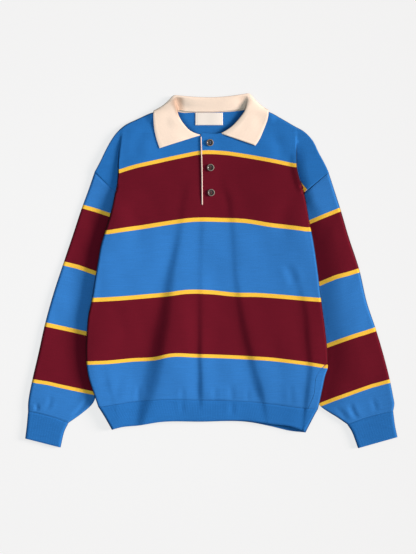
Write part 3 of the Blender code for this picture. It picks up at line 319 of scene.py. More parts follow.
def line_distance(points, line):
    """How far each point is from a line of points, with the sign of the side: positive on the left."""
    points = np.asarray(points, float)
    start = np.asarray(line, float)[:-1]
    along = np.asarray(line, float)[1:] - start
    found = []
    for some in np.array_split(points, len(points) // 3000 + 1):
        offset = some[:, None, :] - start[None, :, :]
        t = np.clip((offset * along).sum(2) / (along ** 2).sum(1), 0.0, 1.0)
        gap = offset - t[:, :, None] * along[None, :, :]
        far = np.hypot(gap[:, :, 0], gap[:, :, 1])
        nearest = far.argmin(1)
        row = np.arange(len(some))
        side = along[nearest, 0] * offset[row, nearest, 1] - along[nearest, 1] * offset[row, nearest, 0]
        found.append(np.where(side >= 0.0, 1.0, -1.0) * far[row, nearest])
    return np.concatenate(found)


def inside(points, loop):
    """Whether each point is inside a closed outline."""
    points = np.asarray(points, float)
    loop = np.asarray(loop, float)
    following = np.roll(loop, -1, axis=0)
    x = points[:, 0][:, None]
    y = points[:, 1][:, None]
    spans = (loop[:, 1] > y) != (following[:, 1] > y)
    rise = np.where(following[:, 1] == loop[:, 1], 1e-9, following[:, 1] - loop[:, 1])
    cross = loop[:, 0] + (y - loop[:, 1]) / rise * (following[:, 0] - loop[:, 0])
    return (spans & (x < cross)).sum(1) % 2 == 1


# ---- how high each layer lies -----------------------------------------------
def inner_line(sleeve, edge):
    """The line on the body's side up to which a tucked sleeve, or the pleat above it, reaches."""
    return [(edge[0][0], FOLD_TOP)] + [(row[2], row[3]) for row in sleeve[:-1]]


LEFT_INNER = inner_line(LEFT_SLEEVE, LEFT_EDGE)
RIGHT_INNER = inner_line(RIGHT_SLEEVE, RIGHT_EDGE)
INNER_EDGE = 2.0        # the cloth over a sleeve stays level this far past it


def near_sleeves(points, ramp):
    """1 where the body lies on a tucked sleeve or on the pleat above it, 0 a ramp's width away."""
    left = line_distance(points, LEFT_INNER) - INNER_EDGE
    right = -line_distance(points, RIGHT_INNER) - INNER_EDGE
    return np.maximum(1.0 - step(left, 0.0, ramp), 1.0 - step(right, 0.0, ramp))


def raised(points):
    """How far the back is lifted by the sleeves, as a share of all of it."""
    return near_sleeves(points, RAMP) * step(FOLD_TOP - points[:, 1], 0.0, SHOULDER_RAMP)


def wing_depth(points):
    """How far a point lies outside the body's folded edge, negative on the body."""
    left = edge_x(LEFT_EDGE, points[:, 1]) - points[:, 0]
    right = points[:, 0] - edge_x(RIGHT_EDGE, points[:, 1])
    return np.maximum(left, right)


def lower_top(points):
    """Top of the lower layer: the sleeves, and the parts of the shoulders beyond the fold."""
    valley = 1.0 - step(wing_depth(points), 4.0, 90.0)
    fade = step(FOLD_TOP - points[:, 1], 0.0, 60.0)
    return share_of(SLEEVE_HIGH, SLEEVE_LOW, valley * fade)


# The valley beside the body and the swell beyond it. A pair holds the two ends of a smooth change.
LEFT_SHOULDER_FLOOR = 10.2      # height of the valley at the left shoulder
VALLEY_FLOOR = 3.6              # its height further down, and on the right
UNDERARM_RISE = 2.6             # it is this much higher at the right underarm
UNDERARM_Y = 126.0
UNDERARM_HALF = 28.0
SWELL_TOP = 11.6                # height of the right sleeve's swell
SWELL_LOSS = 0.7                # share of the swell that is gone at the cuff
VALLEY_TOP = (5.0, 62.0)        # below the top of the fold, where the valley begins
VALLEY_END = (-330.0, -250.0)   # y where it ends
LEFT_DROP = (-105.0, 50.0)      # below the end of the left fold
SWELL_START = (-30.0, 20.0)     # below the end of the right fold
SWELL_END = (190.0, 250.0)      # -y
AT_SHOULDER = (100.0, 150.0)    # y
STEEP_WIDE = (20.0, 8.0)        # width of the right valley's steep side, at the sleeve and shoulder
EASED_WIDE = (32.0, 15.0)       # width of the easier rise beyond it, the same two
STEEP_SHARE = 0.556             # of the rise
SWELL_WIDE = (60.0, 118.0)      # distance from the body's edge, where the swell goes down
LEFT_WIDE = (16.0, 118.0)       # the same, where the left valley rises
EDGE_TUCK = (-8.0, 0.0)         # the same, where the plain form under the body ends


def lower_form(points):
    """The lower layer as it shows: a deep valley beside the body, and a swell beyond it."""
    x, y = points.T
    depth = wing_depth(points)
    left_floor = share_of(LEFT_SHOULDER_FLOOR, VALLEY_FLOOR, step(LEFT_FOLD_END - y, *LEFT_DROP))
    left_form = share_of(left_floor, SLEEVE_HIGH, step(depth, *LEFT_WIDE))

    floor = VALLEY_FLOOR + UNDERARM_RISE * np.exp(-((y - UNDERARM_Y) / UNDERARM_HALF) ** 2)
    swell = (SWELL_TOP - SLEEVE_HIGH) * step(RIGHT_FOLD_END - y, *SWELL_START)
    swell *= 1.0 - SWELL_LOSS * step(-y, *SWELL_END)
    at_shoulder = step(y, *AT_SHOULDER)
    near = share_of(*STEEP_WIDE, at_shoulder)
    far = share_of(*EASED_WIDE, at_shoulder)
    eased = 1.0 - (1.0 - np.clip((depth - near) / far, 0.0, 1.0)) ** 2
    rise = STEEP_SHARE * np.clip(depth / near, 0.0, 1.0) + (1.0 - STEEP_SHARE) * eased
    right_form = share_of(floor, SLEEVE_HIGH + swell, rise) - swell * step(depth, *SWELL_WIDE)

    shown = step(FOLD_TOP - y, *VALLEY_TOP) * step(y, *VALLEY_END) * step(depth, *EDGE_TUCK)
    return share_of(lower_top(points), np.where(x > 0, right_form, left_form), shown)


def fall_edge(x):
    """y of the collar's outer edge under the back."""
    return 314.0 + 14.0 * step(np.abs(x), 50.0, 118.0)


def collar_lift(points):
    """How far the collar, folded under the back, lifts the body."""
    share = step(points[:, 1] - fall_edge(points[:, 0]), -20.0, -4.0)
    return FALL_LIFT * share * (1.0 - step(np.abs(points[:, 0]), 122.0, 140.0))


def armhole_directions(armhole):
    """Along an armhole's seam towards the underarm, and across it towards the neck."""
    start = np.asarray(armhole[0], float)
    along = (np.asarray(armhole[1], float) - start) / math.dist(armhole[0], armhole[1])
    across = np.array([-along[1], along[0]]) * (1.0 if along[0] > 0 else -1.0)
    return along, across


def beyond_armhole(points, armhole, end):
    """1 on the sleeve's side of an armhole's seam, 0 on the neck's side; a ramp past the underarm."""
    along, across = armhole_directions(armhole)
    offset = points - np.asarray(end)
    past = np.maximum(offset @ along, 0.0)
    return 1.0 - step(offset @ across, -0.01, past)


def on_body(points, low, high):
    """0 on a shoulder beyond the fold, 1 on the body, with the step between low and high."""
    depth = -wing_depth(points)
    left = (points[:, 0] < 0) & (points[:, 1] >= LEFT_FOLD_END)
    right = (points[:, 0] > 0) & (points[:, 1] >= RIGHT_FOLD_END)
    return np.where(left | right, step(depth, low, high), 1.0)


def back_bottom(points):
    """Underside of the back: on the surface, on the tucked sleeves or on the collar."""
    sleeve_side = np.where(points[:, 0] < 0, beyond_armhole(points, LEFT_ARMHOLE, LEFT_UNDERARM),
                           beyond_armhole(points, RIGHT_ARMHOLE, RIGHT_UNDERARM))
    return np.maximum(LIFTED * raised(points) * sleeve_side, collar_lift(points))


def back_top_plain(points):
    """Upper side of the back under the front."""
    return WALL + np.maximum(LIFTED * raised(points), collar_lift(points))


def tree_of(points):
    """The points in a tree that finds the nearest of them."""
    tree = KDTree(len(points))
    for index, point in enumerate(points):
        tree.insert((point[0], point[1], 0.0), index)
    tree.balance()
    return tree


def nearest(points, line):
    """How far each point is from a line, positive on its left, and which point of it is nearest."""
    tree = tree_of(line)
    index = np.array([tree.find((x, y, 0.0))[1] for x, y in points])
    along = np.gradient(line[:, :2], axis=0)
    along /= np.linalg.norm(along, axis=1)[:, None]
    offset = points - line[index, :2]
    side = along[index, 0] * offset[:, 1] - along[index, 1] * offset[:, 0]
    return np.where(side >= 0.0, 1.0, -1.0) * np.linalg.norm(offset, axis=1), index


def hump(distance, half, outer):
    """A soft hump: steep on the side where distance is below 0, and long on the side above it."""
    reach = np.where(distance > 0.0, outer * half, half)
    return np.exp(-(distance / reach) ** 2)


def fold_relief(points):
    """Height of the soft folds, each a trough, a wall that rises to the right, and a ridge."""
    relief = np.zeros(len(points))
    for table in FOLDS:
        line = np.asarray(table, float)
        reach = lengths_along(line[:, :2])
        line = spline(reach, line, np.linspace(0.0, reach[-1], int(reach[-1] / 2.0)))
        near = (points[:, 1] > line[:, 1].min() - 60.0) & (points[:, 1] < line[:, 1].max() + 60.0)
        if not near.any():
            continue
        far, index = nearest(points[near], line)
        half = line[index, 3]
        form = (RIDGE[0] * hump(far - FOLD_APART * half, half, RIDGE[1])
                - TROUGH[0] * hump(-far - FOLD_APART * half, half, TROUGH[1]))
        relief[near] += FOLD_GAIN * line[index, 2] * form
    return relief


def soft_edges():
    """The lines where the front and the back are one folded edge."""
    left = [point for point in LEFT_EDGE if point[1] <= LEFT_FOLD_END]
    right = [point for point in RIGHT_EDGE if point[1] <= RIGHT_FOLD_END]
    return [path(LEFT_SHOULDER, 8.0), path(RIGHT_SHOULDER, 8.0), path(left, 8.0), path(right, 8.0)]


SOFT_EDGES = soft_edges()


def edge_distance(points):
    """How far each point is from the nearest folded edge."""
    return np.min([np.abs(line_distance(points, line)) for line in SOFT_EDGES], axis=0)


def air(points):
    """Air between the front and the back: none at a folded edge, more or less at a fold."""
    above = draped(points) - lies_on(points)
    loose = np.maximum(AIR + fold_relief(points) + edge_swell(points), CLEAR - above)
    return loose * step(edge_distance(points), -2.6, 3.6)


LEFT_SWELL = 3.4        # the cloth is this much fuller inside its left folded side
RIGHT_SWELL = 0.6       # and inside its right one
UPRIGHT_SWELL = 2.0     # and this much more just inside the fold at the right shoulder


def edge_swell(points):
    """The cloth is fuller just inside its folded sides."""
    x, y = points.T
    depth = -wing_depth(points)
    high = np.where(x < 0, LEFT_SWELL, RIGHT_SWELL)
    ends = step(190.0 - y, 0.0, 80.0) * step(y, -260.0, -70.0)
    upright = (x > 0) * step(y, 160.0, 185.0) * (1.0 - step(y, 235.0, 258.0))
    return (high * (1.0 - step(depth, 6.0, 105.0)) * ends
            + UPRIGHT_SWELL * (1.0 - step(depth, 4.0, 18.0)) * upright)


def lies_on(points):
    """The lowest the front can lie: on the back, where that lies flat, on a sleeve or on the collar."""
    return back_top_plain(points) + CLEAR


def draped(points):
    """Where the front lies: like the back's top, but it spans the step beside a tucked sleeve softly."""
    above_hem = step(points[:, 1] - height_of(HEM_SEAM, points[:, 0]), -20.0, 100.0)
    share = near_sleeves(points, DRAPE)
    share += (1.0 - share) * MIDDLE_FULL * share_of(HEM_FULL, 1.0, above_hem)
    share *= step(FOLD_TOP - points[:, 1], -40.0, SHOULDER_RAMP)
    return np.maximum(WALL + CLEAR + LIFTED * share, lies_on(points))


def front_bottom(points):
    """Underside of the front, on the body and on the shoulders beyond the fold."""
    body = draped(points) + air(points)
    wing = np.minimum(np.maximum(lower_form(points) - WALL, 0.0) + collar_lift(points), body)
    return share_of(wing, body, on_body(points, 2.8, 5.4))


def rounded_share(distance, radius):
    """Height of a rounded edge, from 0 at the edge to 1 a radius in from it."""
    near = np.clip(distance / radius, 0.0, 1.0)
    return np.sqrt(1.0 - (1.0 - near) ** 2)


def placket_lift(points):
    """The side of the slit that carries the buttonholes lies on the other side."""
    from_slit = points[:, 0] - slit_x(points[:, 1])
    share = (from_slit > 0.05) * (1.0 - step(from_slit, 4.0, 40.0)) * step(points[:, 1], 138.0, 168.0)
    return PLACKET_LIFT * share


def main_front_top(points):
    """Upper side of the front with its main folds, rounded off at the folded edges."""
    body = draped(points) + air(points) + WALL
    wing = np.minimum(lower_form(points) + collar_lift(points), body)
    free = share_of(wing, body, on_body(points, -0.6, 2.6))
    low = front_bottom(points) + THINNEST
    round_edge = rounded_share(edge_distance(points), EDGE_ROUND)
    return low + np.maximum(free - low, 0.0) * round_edge + placket_lift(points)


def back_top(points):
    """Upper side of the back, on the body and on the shoulders beyond the fold."""
    wing = WALL + collar_lift(points)
    return share_of(wing, back_top_plain(points), on_body(points, 3.4, 6.0))


def strip_share(points):
    """1 on the strip of the back that rolls forward at the lower right, 0 elsewhere."""
    beyond = points[:, 0] > edge_x(SIDE_SEAM, points[:, 1])
    return beyond * step(SIDE_SEAM[0][1] - points[:, 1], 0.0, STRIP_RISE)


# ---- the finer form that only the looks have --------------------------------
# Smaller folds of the front: start x, y, end x, y, bend, depth, half width.
SMALL_FOLDS = [
    (156, 14, 173, -28, 3, 1.0, 8), (-189, -221, -202, -274, -2, 0.5, 9),
    (28, 169, 36, 127, 1, 0.5, 9), (41, -240, 43, -272, 1, 0.6, 6),
    (-152, -238, -155, -273, 0, 0.6, 5), (-60, -245, -61, -270, 0, 0.5, 5),
    (8, -243, 8, -271, 0, 0.5, 6), (75, -248, 77, -274, 0, 0.4, 5),
    (164, -236, 168, -281, 1, 0.45, 6), (-160, 240, -140, 300, -6, 0.7, 12),
    (150, 232, 128, 290, 5, 0.8, 12), (-176, 150, -150, 60, 8, 0.7, 16),
    (168, 160, 150, 70, -6, 0.7, 16), (-210, -60, -180, -150, 6, 0.6, 14),
    (12, 40, -4, -60, 4, 0.35, 18)]
# Small folds of the sleeves and of the hem rib, in the same columns.
SLEEVE_FOLDS = [
    (-368, -278, -366, -292, 1, 1.3, 4), (-256, -262, -292, -306, 4, 1.0, 5),
    (-338, -262, -345, -290, 2, 0.7, 5), (-300, 40, -286, -20, -4, 0.6, 12),
    (-330, -60, -312, -130, -5, 0.6, 14), (-262, 120, -236, 60, 3, 0.5, 12),
    (292, -278, 306, -308, -3, 1.3, 5), (338, -268, 346, -294, 1, 0.7, 5),
    (262, -286, 284, -312, 3, 0.7, 5), (300, 20, 284, -40, 4, 0.6, 12),
    (330, -90, 312, -160, 4, 0.6, 14), (258, 130, 232, 70, -3, 0.5, 12)]
HEM_FOLDS = [(43, -272, 44, -300, 0, 0.6, 6), (-61, -270, -62, -296, 0, 0.4, 5)]
SEAM_GROOVE = 0.7       # the cloth dips this far at a seam
# Slow unevenness of cloth that lies loose: length of the wave in x and in y, turn of its start, height.
LOOSE_WAVES = [(210, 330, 0.4, 0.35), (-150, 260, 1.9, 0.3), (95, -410, 3.1, 0.2), (64, 150, 5.0, 0.12)]


def creases(points, table):
    """Depth of small soft folds: each a trough with a low ridge on either side, fading at both ends."""
    relief = np.zeros(len(points))
    for x0, y0, x1, y1, bend, depth, half in table:
        start = np.array([x0, y0], float)
        end = np.array([x1, y1], float)
        middle = (start + end) / 2
        reach = np.linalg.norm(end - start) / 2 + 3 * half
        near = np.linalg.norm(points - middle, axis=1) < reach
        if not near.any():
            continue
        line = path([start, middle + np.array([bend, 0.0]), end], 12.0)
        far = np.abs(line_distance(points[near], line))
        t = ((points[near] - start) @ (end - start)) / ((end - start) ** 2).sum()
        strength = step(t, -0.15, 0.35) * (1.0 - step(t, 0.75, 1.12))
        relief[near] += strength * depth * (0.4 * np.exp(-((far - 1.9 * half) / half) ** 2)
                                            - np.exp(-(far / half) ** 2))
    return relief


def loose(points):
    """Slow waves of cloth that lies loose."""
    relief = np.zeros(len(points))
    for across, up, turn, height in LOOSE_WAVES:
        relief += height * np.sin(2 * math.pi * (points[:, 0] / across + points[:, 1] / up) + turn)
    return relief


def front_top(points):
    """The front's upper side with its small folds, which die out at the edges and the seams."""
    above_seam = points[:, 1] - height_of(HEM_SEAM, points[:, 0])
    from_edge = edge_distance(points)
    hold = step(from_edge, 2.0, 16.0) * on_body(points, 2.0, 16.0) * step(above_seam, 0.0, 4.0)
    gathers = creases(points, SMALL_FOLDS) * step(from_edge, 0.0, 8.0)
    groove = SEAM_GROOVE * (1.0 - step(above_seam, 0.0, 2.6))
    top = main_front_top(points) + gathers + loose(points) * hold
    return np.maximum(top, front_bottom(points) + THINNEST) - groove


def sleeve_top(points):
    """The upper side of a sleeve, with its small folds where it lies free of the body."""
    free = step(wing_depth(points), 1.0, 14.0)
    return lower_form(points) + (creases(points, SLEEVE_FOLDS) + 0.7 * loose(points)) * free


def back_top_with_strip(points):
    """The back's upper side; beyond the right side seam it rolls forward, as high as the front."""
    low = back_top_plain(points)
    rolled = np.maximum(front_top(points) - low, 0.0)
    return np.where(points[:, 1] < SIDE_SEAM[0][1], low + rolled * strip_share(points), back_top(points))


# ---- stripes ----------------------------------------------------------------
def band_facts(gaps):
    """How far each point is from the nearest yellow line, and 1 where the cloth is maroon.

    gaps holds, for each line from the top down, how far each point lies below it.
    """
    gaps = np.array(gaps) - LINE_DROP
    away = (np.abs(gaps) + np.array(LINE_TRIM)[:, None]).min(0)
    maroon = np.zeros(gaps.shape[1])
    for index, gap in enumerate(gaps):
        maroon += (1.0 if index % 2 == 0 else -1.0) * step(gap, -2.0, 2.0)
    return away, maroon


def body_gaps(points):
    """How far each point lies below each of the body's lines."""
    return np.array([height_of(line, points[:, 0]) - points[:, 1] for line in BODY_LINES])


def body_stripes(points):
    """The front's stripes; the shoulders beyond the fold show the yoke, and one line on the right."""
    x, y = points.T
    gaps = body_gaps(points)
    fold_end = np.where(x < 0, LEFT_FOLD_END, RIGHT_FOLD_END)
    beyond = (y >= fold_end) & (wing_depth(points) > 0.0)
    below_wing_line = -line_distance(points, WING_LINE)
    gaps[0][beyond] = np.where(x[beyond] > 0, below_wing_line[beyond], FAR_ABOVE)
    gaps[1:, beyond] = FAR_ABOVE
    away, band = yoke_marked(gaps)
    band[beyond & (x > 0) & (below_wing_line > -3.5)] = 1.0     # so no blue shows beside the line
    return away, band


def yoke_marked(gaps):
    """The facts of the bands, with -1 in place of 0 above the first line, where the blue is darkened as
    painted shade.
    """
    away, maroon = band_facts(gaps)
    return away, maroon - (gaps[0] < 0.0)


def back_stripes(points):
    """The stripes of the back, with painted shade: darker blue beside the neck, where the collar shades its
    inside.
    """
    away, band = yoke_marked(body_gaps(points))
    to_sides = [np.abs(line_distance(points, line)) for line in (LEFT_NECK, RIGHT_NECK)]
    beside_neck = np.min(to_sides, axis=0)
    aside = np.maximum(step(points[:, 1], 299.0, 315.0), step(np.abs(points[:, 0] + 6.0), 16.0, 36.0))
    # painted shade: the blue inside the back is darkened beside the neck, where the collar shades it
    shaded = (1.0 - step(beside_neck, 1.0, 20.0)) * aside
    return away, band - (band < -0.5) * shaded


def sleeve_stripes(lines):
    """A sleeve's stripes, as a function of the points."""
    def facts(points):
        return band_facts([-line_distance(points, stretched(line)) for line in lines])
    return facts


def stretched(line):
    """A line carried on straight past both its ends."""
    line = np.asarray(line, float)
    first = line[0] + (line[0] - line[1]) * 6
    last = line[-1] + (line[-1] - line[-2]) * 6
    return np.concatenate([[first], line, [last]])


# ---- meshes -----------------------------------------------------------------
def make_piece(name, vertices, faces, smooth_angle=50.0, knit=None, stripes=None):
    """A mesh from points in millimetres. knit holds the place of each point in the knitting, in mm."""
    vertices = np.asarray(vertices, float)
    mesh = bpy.data.meshes.new(name)
    mesh.from_pydata((vertices * MM).tolist(), [], faces)
    form = bmesh.new()
    form.from_mesh(mesh)
    bmesh.ops.recalc_face_normals(form, faces=form.faces)
    form.to_mesh(mesh)
    form.free()
    mesh.shade_smooth()
    mesh.set_sharp_from_angle(angle=math.radians(smooth_angle))
    if knit is None:
        knit = vertices[:, :2]
    place = mesh.attributes.new("knit", "FLOAT_VECTOR", "POINT")
    place.data.foreach_set("vector", np.column_stack([knit, np.zeros(len(knit))]).ravel())
    if stripes is not None:
        for label, values in zip(("away", "maroon"), stripes):
            mesh.attributes.new(label, "FLOAT", "POINT").data.foreach_set("value", values)
    thing = bpy.data.objects.new(name, mesh)
    bpy.context.scene.collection.objects.link(thing)
    return thing


def dress(thing, node, material):
    """The piece stands for a node, rides with the body and has a material."""
    thing.data.materials.clear()
    thing.data.materials.append(material)
    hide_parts(node)
    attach(thing, "root")
    return thing


def beside(line, distance):
    """A line moved sideways, to its left where the distance is above 0."""
    line = np.asarray(line, float)
    along = np.gradient(line, axis=0)
    along /= np.linalg.norm(along, axis=1)[:, None]
    return line + np.column_stack([-along[:, 1], along[:, 0]]) * distance


def clipped(line, outline, margin):
    """The stretches of a line that lie inside an outline, at least a margin from it."""
    closed = np.concatenate([outline, outline[:1]])
    keep = inside(line, outline) & (np.abs(line_distance(line, closed)) > margin)
    stretches = []
    current = []
    for point, kept in zip(line, keep):
        if kept:
            current.append(point)
        elif current:
            stretches.append(np.array(current))
            current = []
    if current:
        stretches.append(np.array(current))
    return [stretch for stretch in stretches if len(stretch) > 1]


def lattice_points(outline, fixed, spacing):
    """Points of a triangular lattice inside an outline, clear of the fixed points."""
    low = outline.min(0)
    high = outline.max(0)
    rows = []
    for index, y in enumerate(np.arange(low[1], high[1], spacing * 0.87)):
        xs = np.arange(low[0] + (index % 2) * spacing / 2, high[0], spacing)
        rows.append(np.column_stack([xs, np.full(len(xs), y)]))
    points = np.concatenate(rows)
    points = points[np.concatenate([inside(some, outline) for some in np.array_split(points, 20)])]
    tree = tree_of(fixed)
    clear = [tree.find((x, y, 0.0))[2] > spacing * 0.55 for x, y in points]
    return points[clear]


def thickly(line, spacing):
    """The line's own stretches with points put in between, about a spacing apart."""
    parts = [np.asarray(line[:1], float)]
    for here, after in zip(line, line[1:]):
        count = max(1, int(math.dist(here, after) / spacing))
        share = np.linspace(0.0, 1.0, count + 1)[1:, None]
        parts.append(np.asarray(here) * (1 - share) + np.asarray(after) * share)
    return np.concatenate(parts)


def panel(name, outline, lines, top, bottom, stripes, anchored=(), spacing=LATTICE):
    """A cloth wall: an outline filled with triangles, its upper side, its lower side and its rim."""
    outline = np.asarray(outline, float)
    lines = [stretch for line in lines for stretch in clipped(line, outline, LINE_MARGIN)]
    lines += anchored
    fixed = np.concatenate([outline] + lines)
    edges = []
    start = len(outline)
    for line in lines:
        edges += [(start + i, start + i + 1) for i in range(len(line) - 1)]
        start += len(line)
    closed = np.concatenate([outline, outline[:1]])
    held = np.concatenate([thickly(line, 1.2) for line in [closed] + lines])
    plan = np.concatenate([fixed, lattice_points(outline, held, spacing)])
    filled = delaunay_2d_cdt([tuple(p) for p in plan], edges, [list(range(len(outline)))], 1, 1e-5)
    flat = np.array([tuple(p) for p in filled[0]])
    triangles = [tuple(face) for face in filled[2]]
    place = {}
    for new, olds in enumerate(filled[3]):
        for old in olds:
            place[old] = new
    count = len(flat)
    high = top(flat)
    low = bottom(flat)
    vertices = np.concatenate([np.column_stack([flat, high]), np.column_stack([flat, low])])
    faces = list(triangles)
    faces += [tuple(count + index for index in reversed(face)) for face in triangles]
    rim = [place[index] for index in range(len(outline))]
    for here, after in zip(rim, rim[1:] + rim[:1]):
        faces.append((here, here + count, after + count, after))
    facts = [np.tile(values, 2) for values in stripes(flat)]
    return make_piece(name, vertices, faces, stripes=facts)


def ring_walls(name, outer, inner, knit, stripes=None):
    """An open tube: rings of points for its outside and its inside, joined at both ends."""
    rings, around = outer.shape[:2]
    vertices = np.concatenate([outer.reshape(-1, 3), inner.reshape(-1, 3)])
    base = rings * around
    faces = []
    for r in range(rings - 1):
        for i in range(around):
            j = (i + 1) % around
            a, b, c, d = r * around + i, r * around + j, (r + 1) * around + j, (r + 1) * around + i
            faces.append((a, b, c, d))
            faces.append((base + a, base + d, base + c, base + b))
    last = (rings - 1) * around
    for i in range(around):
        j = (i + 1) % around
        faces.append((j, i, base + i, base + j))
        faces.append((last + i, last + j, base + last + j, base + last + i))
    facts = None if stripes is None else stripes(vertices[:, :2])
    return make_piece(name, vertices, faces, knit=np.tile(knit.reshape(-1, 2), (2, 1)), stripes=facts)


def grid_wall(rows, columns):
    """Faces of a wall between two grids of points, the upper one first, with its rim."""
    count = rows * columns
    faces = []
    for r in range(rows - 1):
        for c in range(columns - 1):
            a = r * columns + c
            quad = (a, a + columns, a + columns + 1, a + 1)
            faces.append(quad)
            faces.append(tuple(count + index for index in reversed(quad)))
    rim = list(range(columns))
    rim += [r * columns + columns - 1 for r in range(1, rows)]
    rim += [(rows - 1) * columns + c for c in range(columns - 2, -1, -1)]
    rim += [r * columns for r in range(rows - 2, 0, -1)]
    for here, after in zip(rim, rim[1:] + rim[:1]):
        faces.append((here, after, after + count, here + count))
    return faces


# ---- the flat tubes: sleeves and cuffs --------------------------------------
FOLD_SOFT = 6.0         # width in which a tube's upper side comes down to its folded edge
FOLD_FLOOR = 4.0        # the same for its lower side
FOLD_HEIGHT = 0.45      # height of its folded edge, as a share of the height at its middle
SIDE_INSET = 1.15       # the inside stays this many walls away from a folded edge
RING_SPACING = 4.0      # from one section of a sleeve or a cuff to the next
SLEEVE_STEPS = 56       # points across the top of a sleeve
UNDER_STEPS = 30        # points across the bottom of a sleeve or a cuff


def tube_ring(row, top, over, under, inset, relief=0.0):
    """One section of a flattened tube, over the top and back along the bottom, inset for its inside."""
    start = np.array(row[0:2])
    end = np.array(row[2:4])
    width = np.linalg.norm(end - start)
    along = (end - start) / width
    across = np.array([-along[1], along[0]]) * (1.0 if along[0] > 0 else -1.0)

    def plan(distance):
        q = distance / width
        return start + np.outer(distance, along) + np.outer(row[4] * 4 * q * (1 - q), across)

    middle = FOLD_HEIGHT * top(plan(np.array([0.5 * width])))[0]
    side = inset * SIDE_INSET
    parts = []
    for shares, upper in ((over, True), (under[::-1], False)):
        distance = side + (width - 2 * side) * shares
        points = plan(distance)
        to_edge = np.minimum(distance, width - distance) - side
        if upper:
            free = top(points) - inset - middle
            height = middle + free * rounded_share(to_edge, FOLD_SOFT)
            height += relief * step(to_edge, 0.0, FOLD_SOFT)
        else:
            height = middle - (middle - inset) * rounded_share(to_edge, FOLD_FLOOR)
        parts.append(np.column_stack([points, height]))
    return np.concatenate(parts)


def edge_dense(count):
    """Shares from 0 to 1, closer together towards both ends."""
    t = np.linspace(0.0, 1.0, count)
    return share_of((1 - np.cos(math.pi * t)) / 2, t, 0.35)


def rows_along(table, spacing):
    """The rows of a sleeve's or a cuff's table, made finer along a smooth curve."""
    rows = np.asarray(table, float)
    reach = lengths_along((rows[:, 0:2] + rows[:, 2:4]) / 2)
    close = np.array([0.0, 0.8, 1.8, 3.0])
    even = np.linspace(4.5, reach[-1] - 4.5, int(reach[-1] / spacing) - 1)
    at = np.concatenate([close, even, reach[-1] - close[::-1]])
    return spline(reach, rows, at), at


def tube(name, table, top, spacing, over, under, dips, stripes=None, relief=0.0, gap=None):
    """A sleeve or a cuff, ring by ring. dips: how far its first and its last ring go down."""
    rows, at = rows_along(table, spacing)
    drop = dips[0] * (1.0 - step(at, 0.0, 3.0)) + dips[1] * step(at, at[-1] - 3.0, at[-1])
    outer = np.array([tube_ring(row, top, over, under, 0.0, relief - low)
                      for row, low in zip(rows, drop)])
    inner = np.array([tube_ring(row, top, over, under, SLEEVE_WALL) for row in rows])
    if gap is not None:
        outer[0, :, :2] += gap
        inner[0, :, :2] += gap
    widths = np.linalg.norm(rows[:, 2:4] - rows[:, 0:2], axis=1)
    around = np.concatenate([over, 2.0 - under[::-1]])
    knit = np.stack([np.outer(widths, around), np.repeat(at[:, None], len(around), axis=1)], axis=2)
    turn = slice(None, None, -1) if table[0][0] < table[0][2] else slice(None)
    return ring_walls(name, outer[:, turn], inner[:, turn], knit[:, turn], stripes)


def make_sleeve(name, table, lines, material):
    armhole = np.array(table[0][2:4]) - np.array(table[0][0:2])
    out = np.array([armhole[1], -armhole[0]]) / np.linalg.norm(armhole)
    out = out if out[1] < 0 else -out
    thing = tube(name + "_shell", table, sleeve_top, RING_SPACING, edge_dense(SLEEVE_STEPS),
                 edge_dense(UNDER_STEPS), (0.4, SEAM_GROOVE), sleeve_stripes(lines), gap=out * -0.25)
    return dress(thing, name, material)


RIB_STEPS = 5           # points across one rib
RIB_FORM = 0.1          # the ribs lie stretched almost flat


def rib_shares(width):
    """Shares across a ribbed top, and the height of the ribs there."""
    ribs = int(width / RIB_PITCH)
    t = np.linspace(0.0, 1.0, ribs * RIB_STEPS + 1)
    fade = step(t, 0.0, 0.04) * (1 - step(t, 0.96, 1.0))
    return t, 0.5 * RIB_FORM * (1 - np.cos(2 * math.pi * ribs * t)) * fade - 0.1 * fade


def make_cuff(name, table, material):
    width = math.dist(table[-1][0:2], table[-1][2:4])
    over, ribs = rib_shares(width)

    def cuff_top(points):
        return lower_top(points) - 0.4 + 0.5 * loose(points)

    thing = tube(name + "_shell", table, cuff_top, RING_SPACING, over, edge_dense(UNDER_STEPS),
                 (SEAM_GROOVE, 1.0), relief=ribs)
    return dress(thing, name, material)


def hem_top(points):
    """The upper side of the hem rib, which carries on the front's folds."""
    relief = np.maximum(AIR + fold_relief(points), CLEAR + lies_on(points) - draped(points))
    body = draped(points) + relief + WALL
    below_seam = height_of(HEM_SEAM, points[:, 0]) - points[:, 1]
    waves = 0.5 * loose(points) * step(below_seam, 0.0, 9.0)
    return np.maximum(body, HEM_LEAST) + creases(points, HEM_FOLDS) + waves


HEM_ENDS = ((-237.0, 224.0), (-209.0, 198.0))   # x of its sides at the seam, and at the lower edge
HEM_DEEP = 45.0         # from the seam to the lower edge
HEM_LEAST = 7.0         # the rib's upper side lies at least this high
HEM_FOLD_HEIGHT = 0.42  # height of its folded edge, as a share of the rib's height


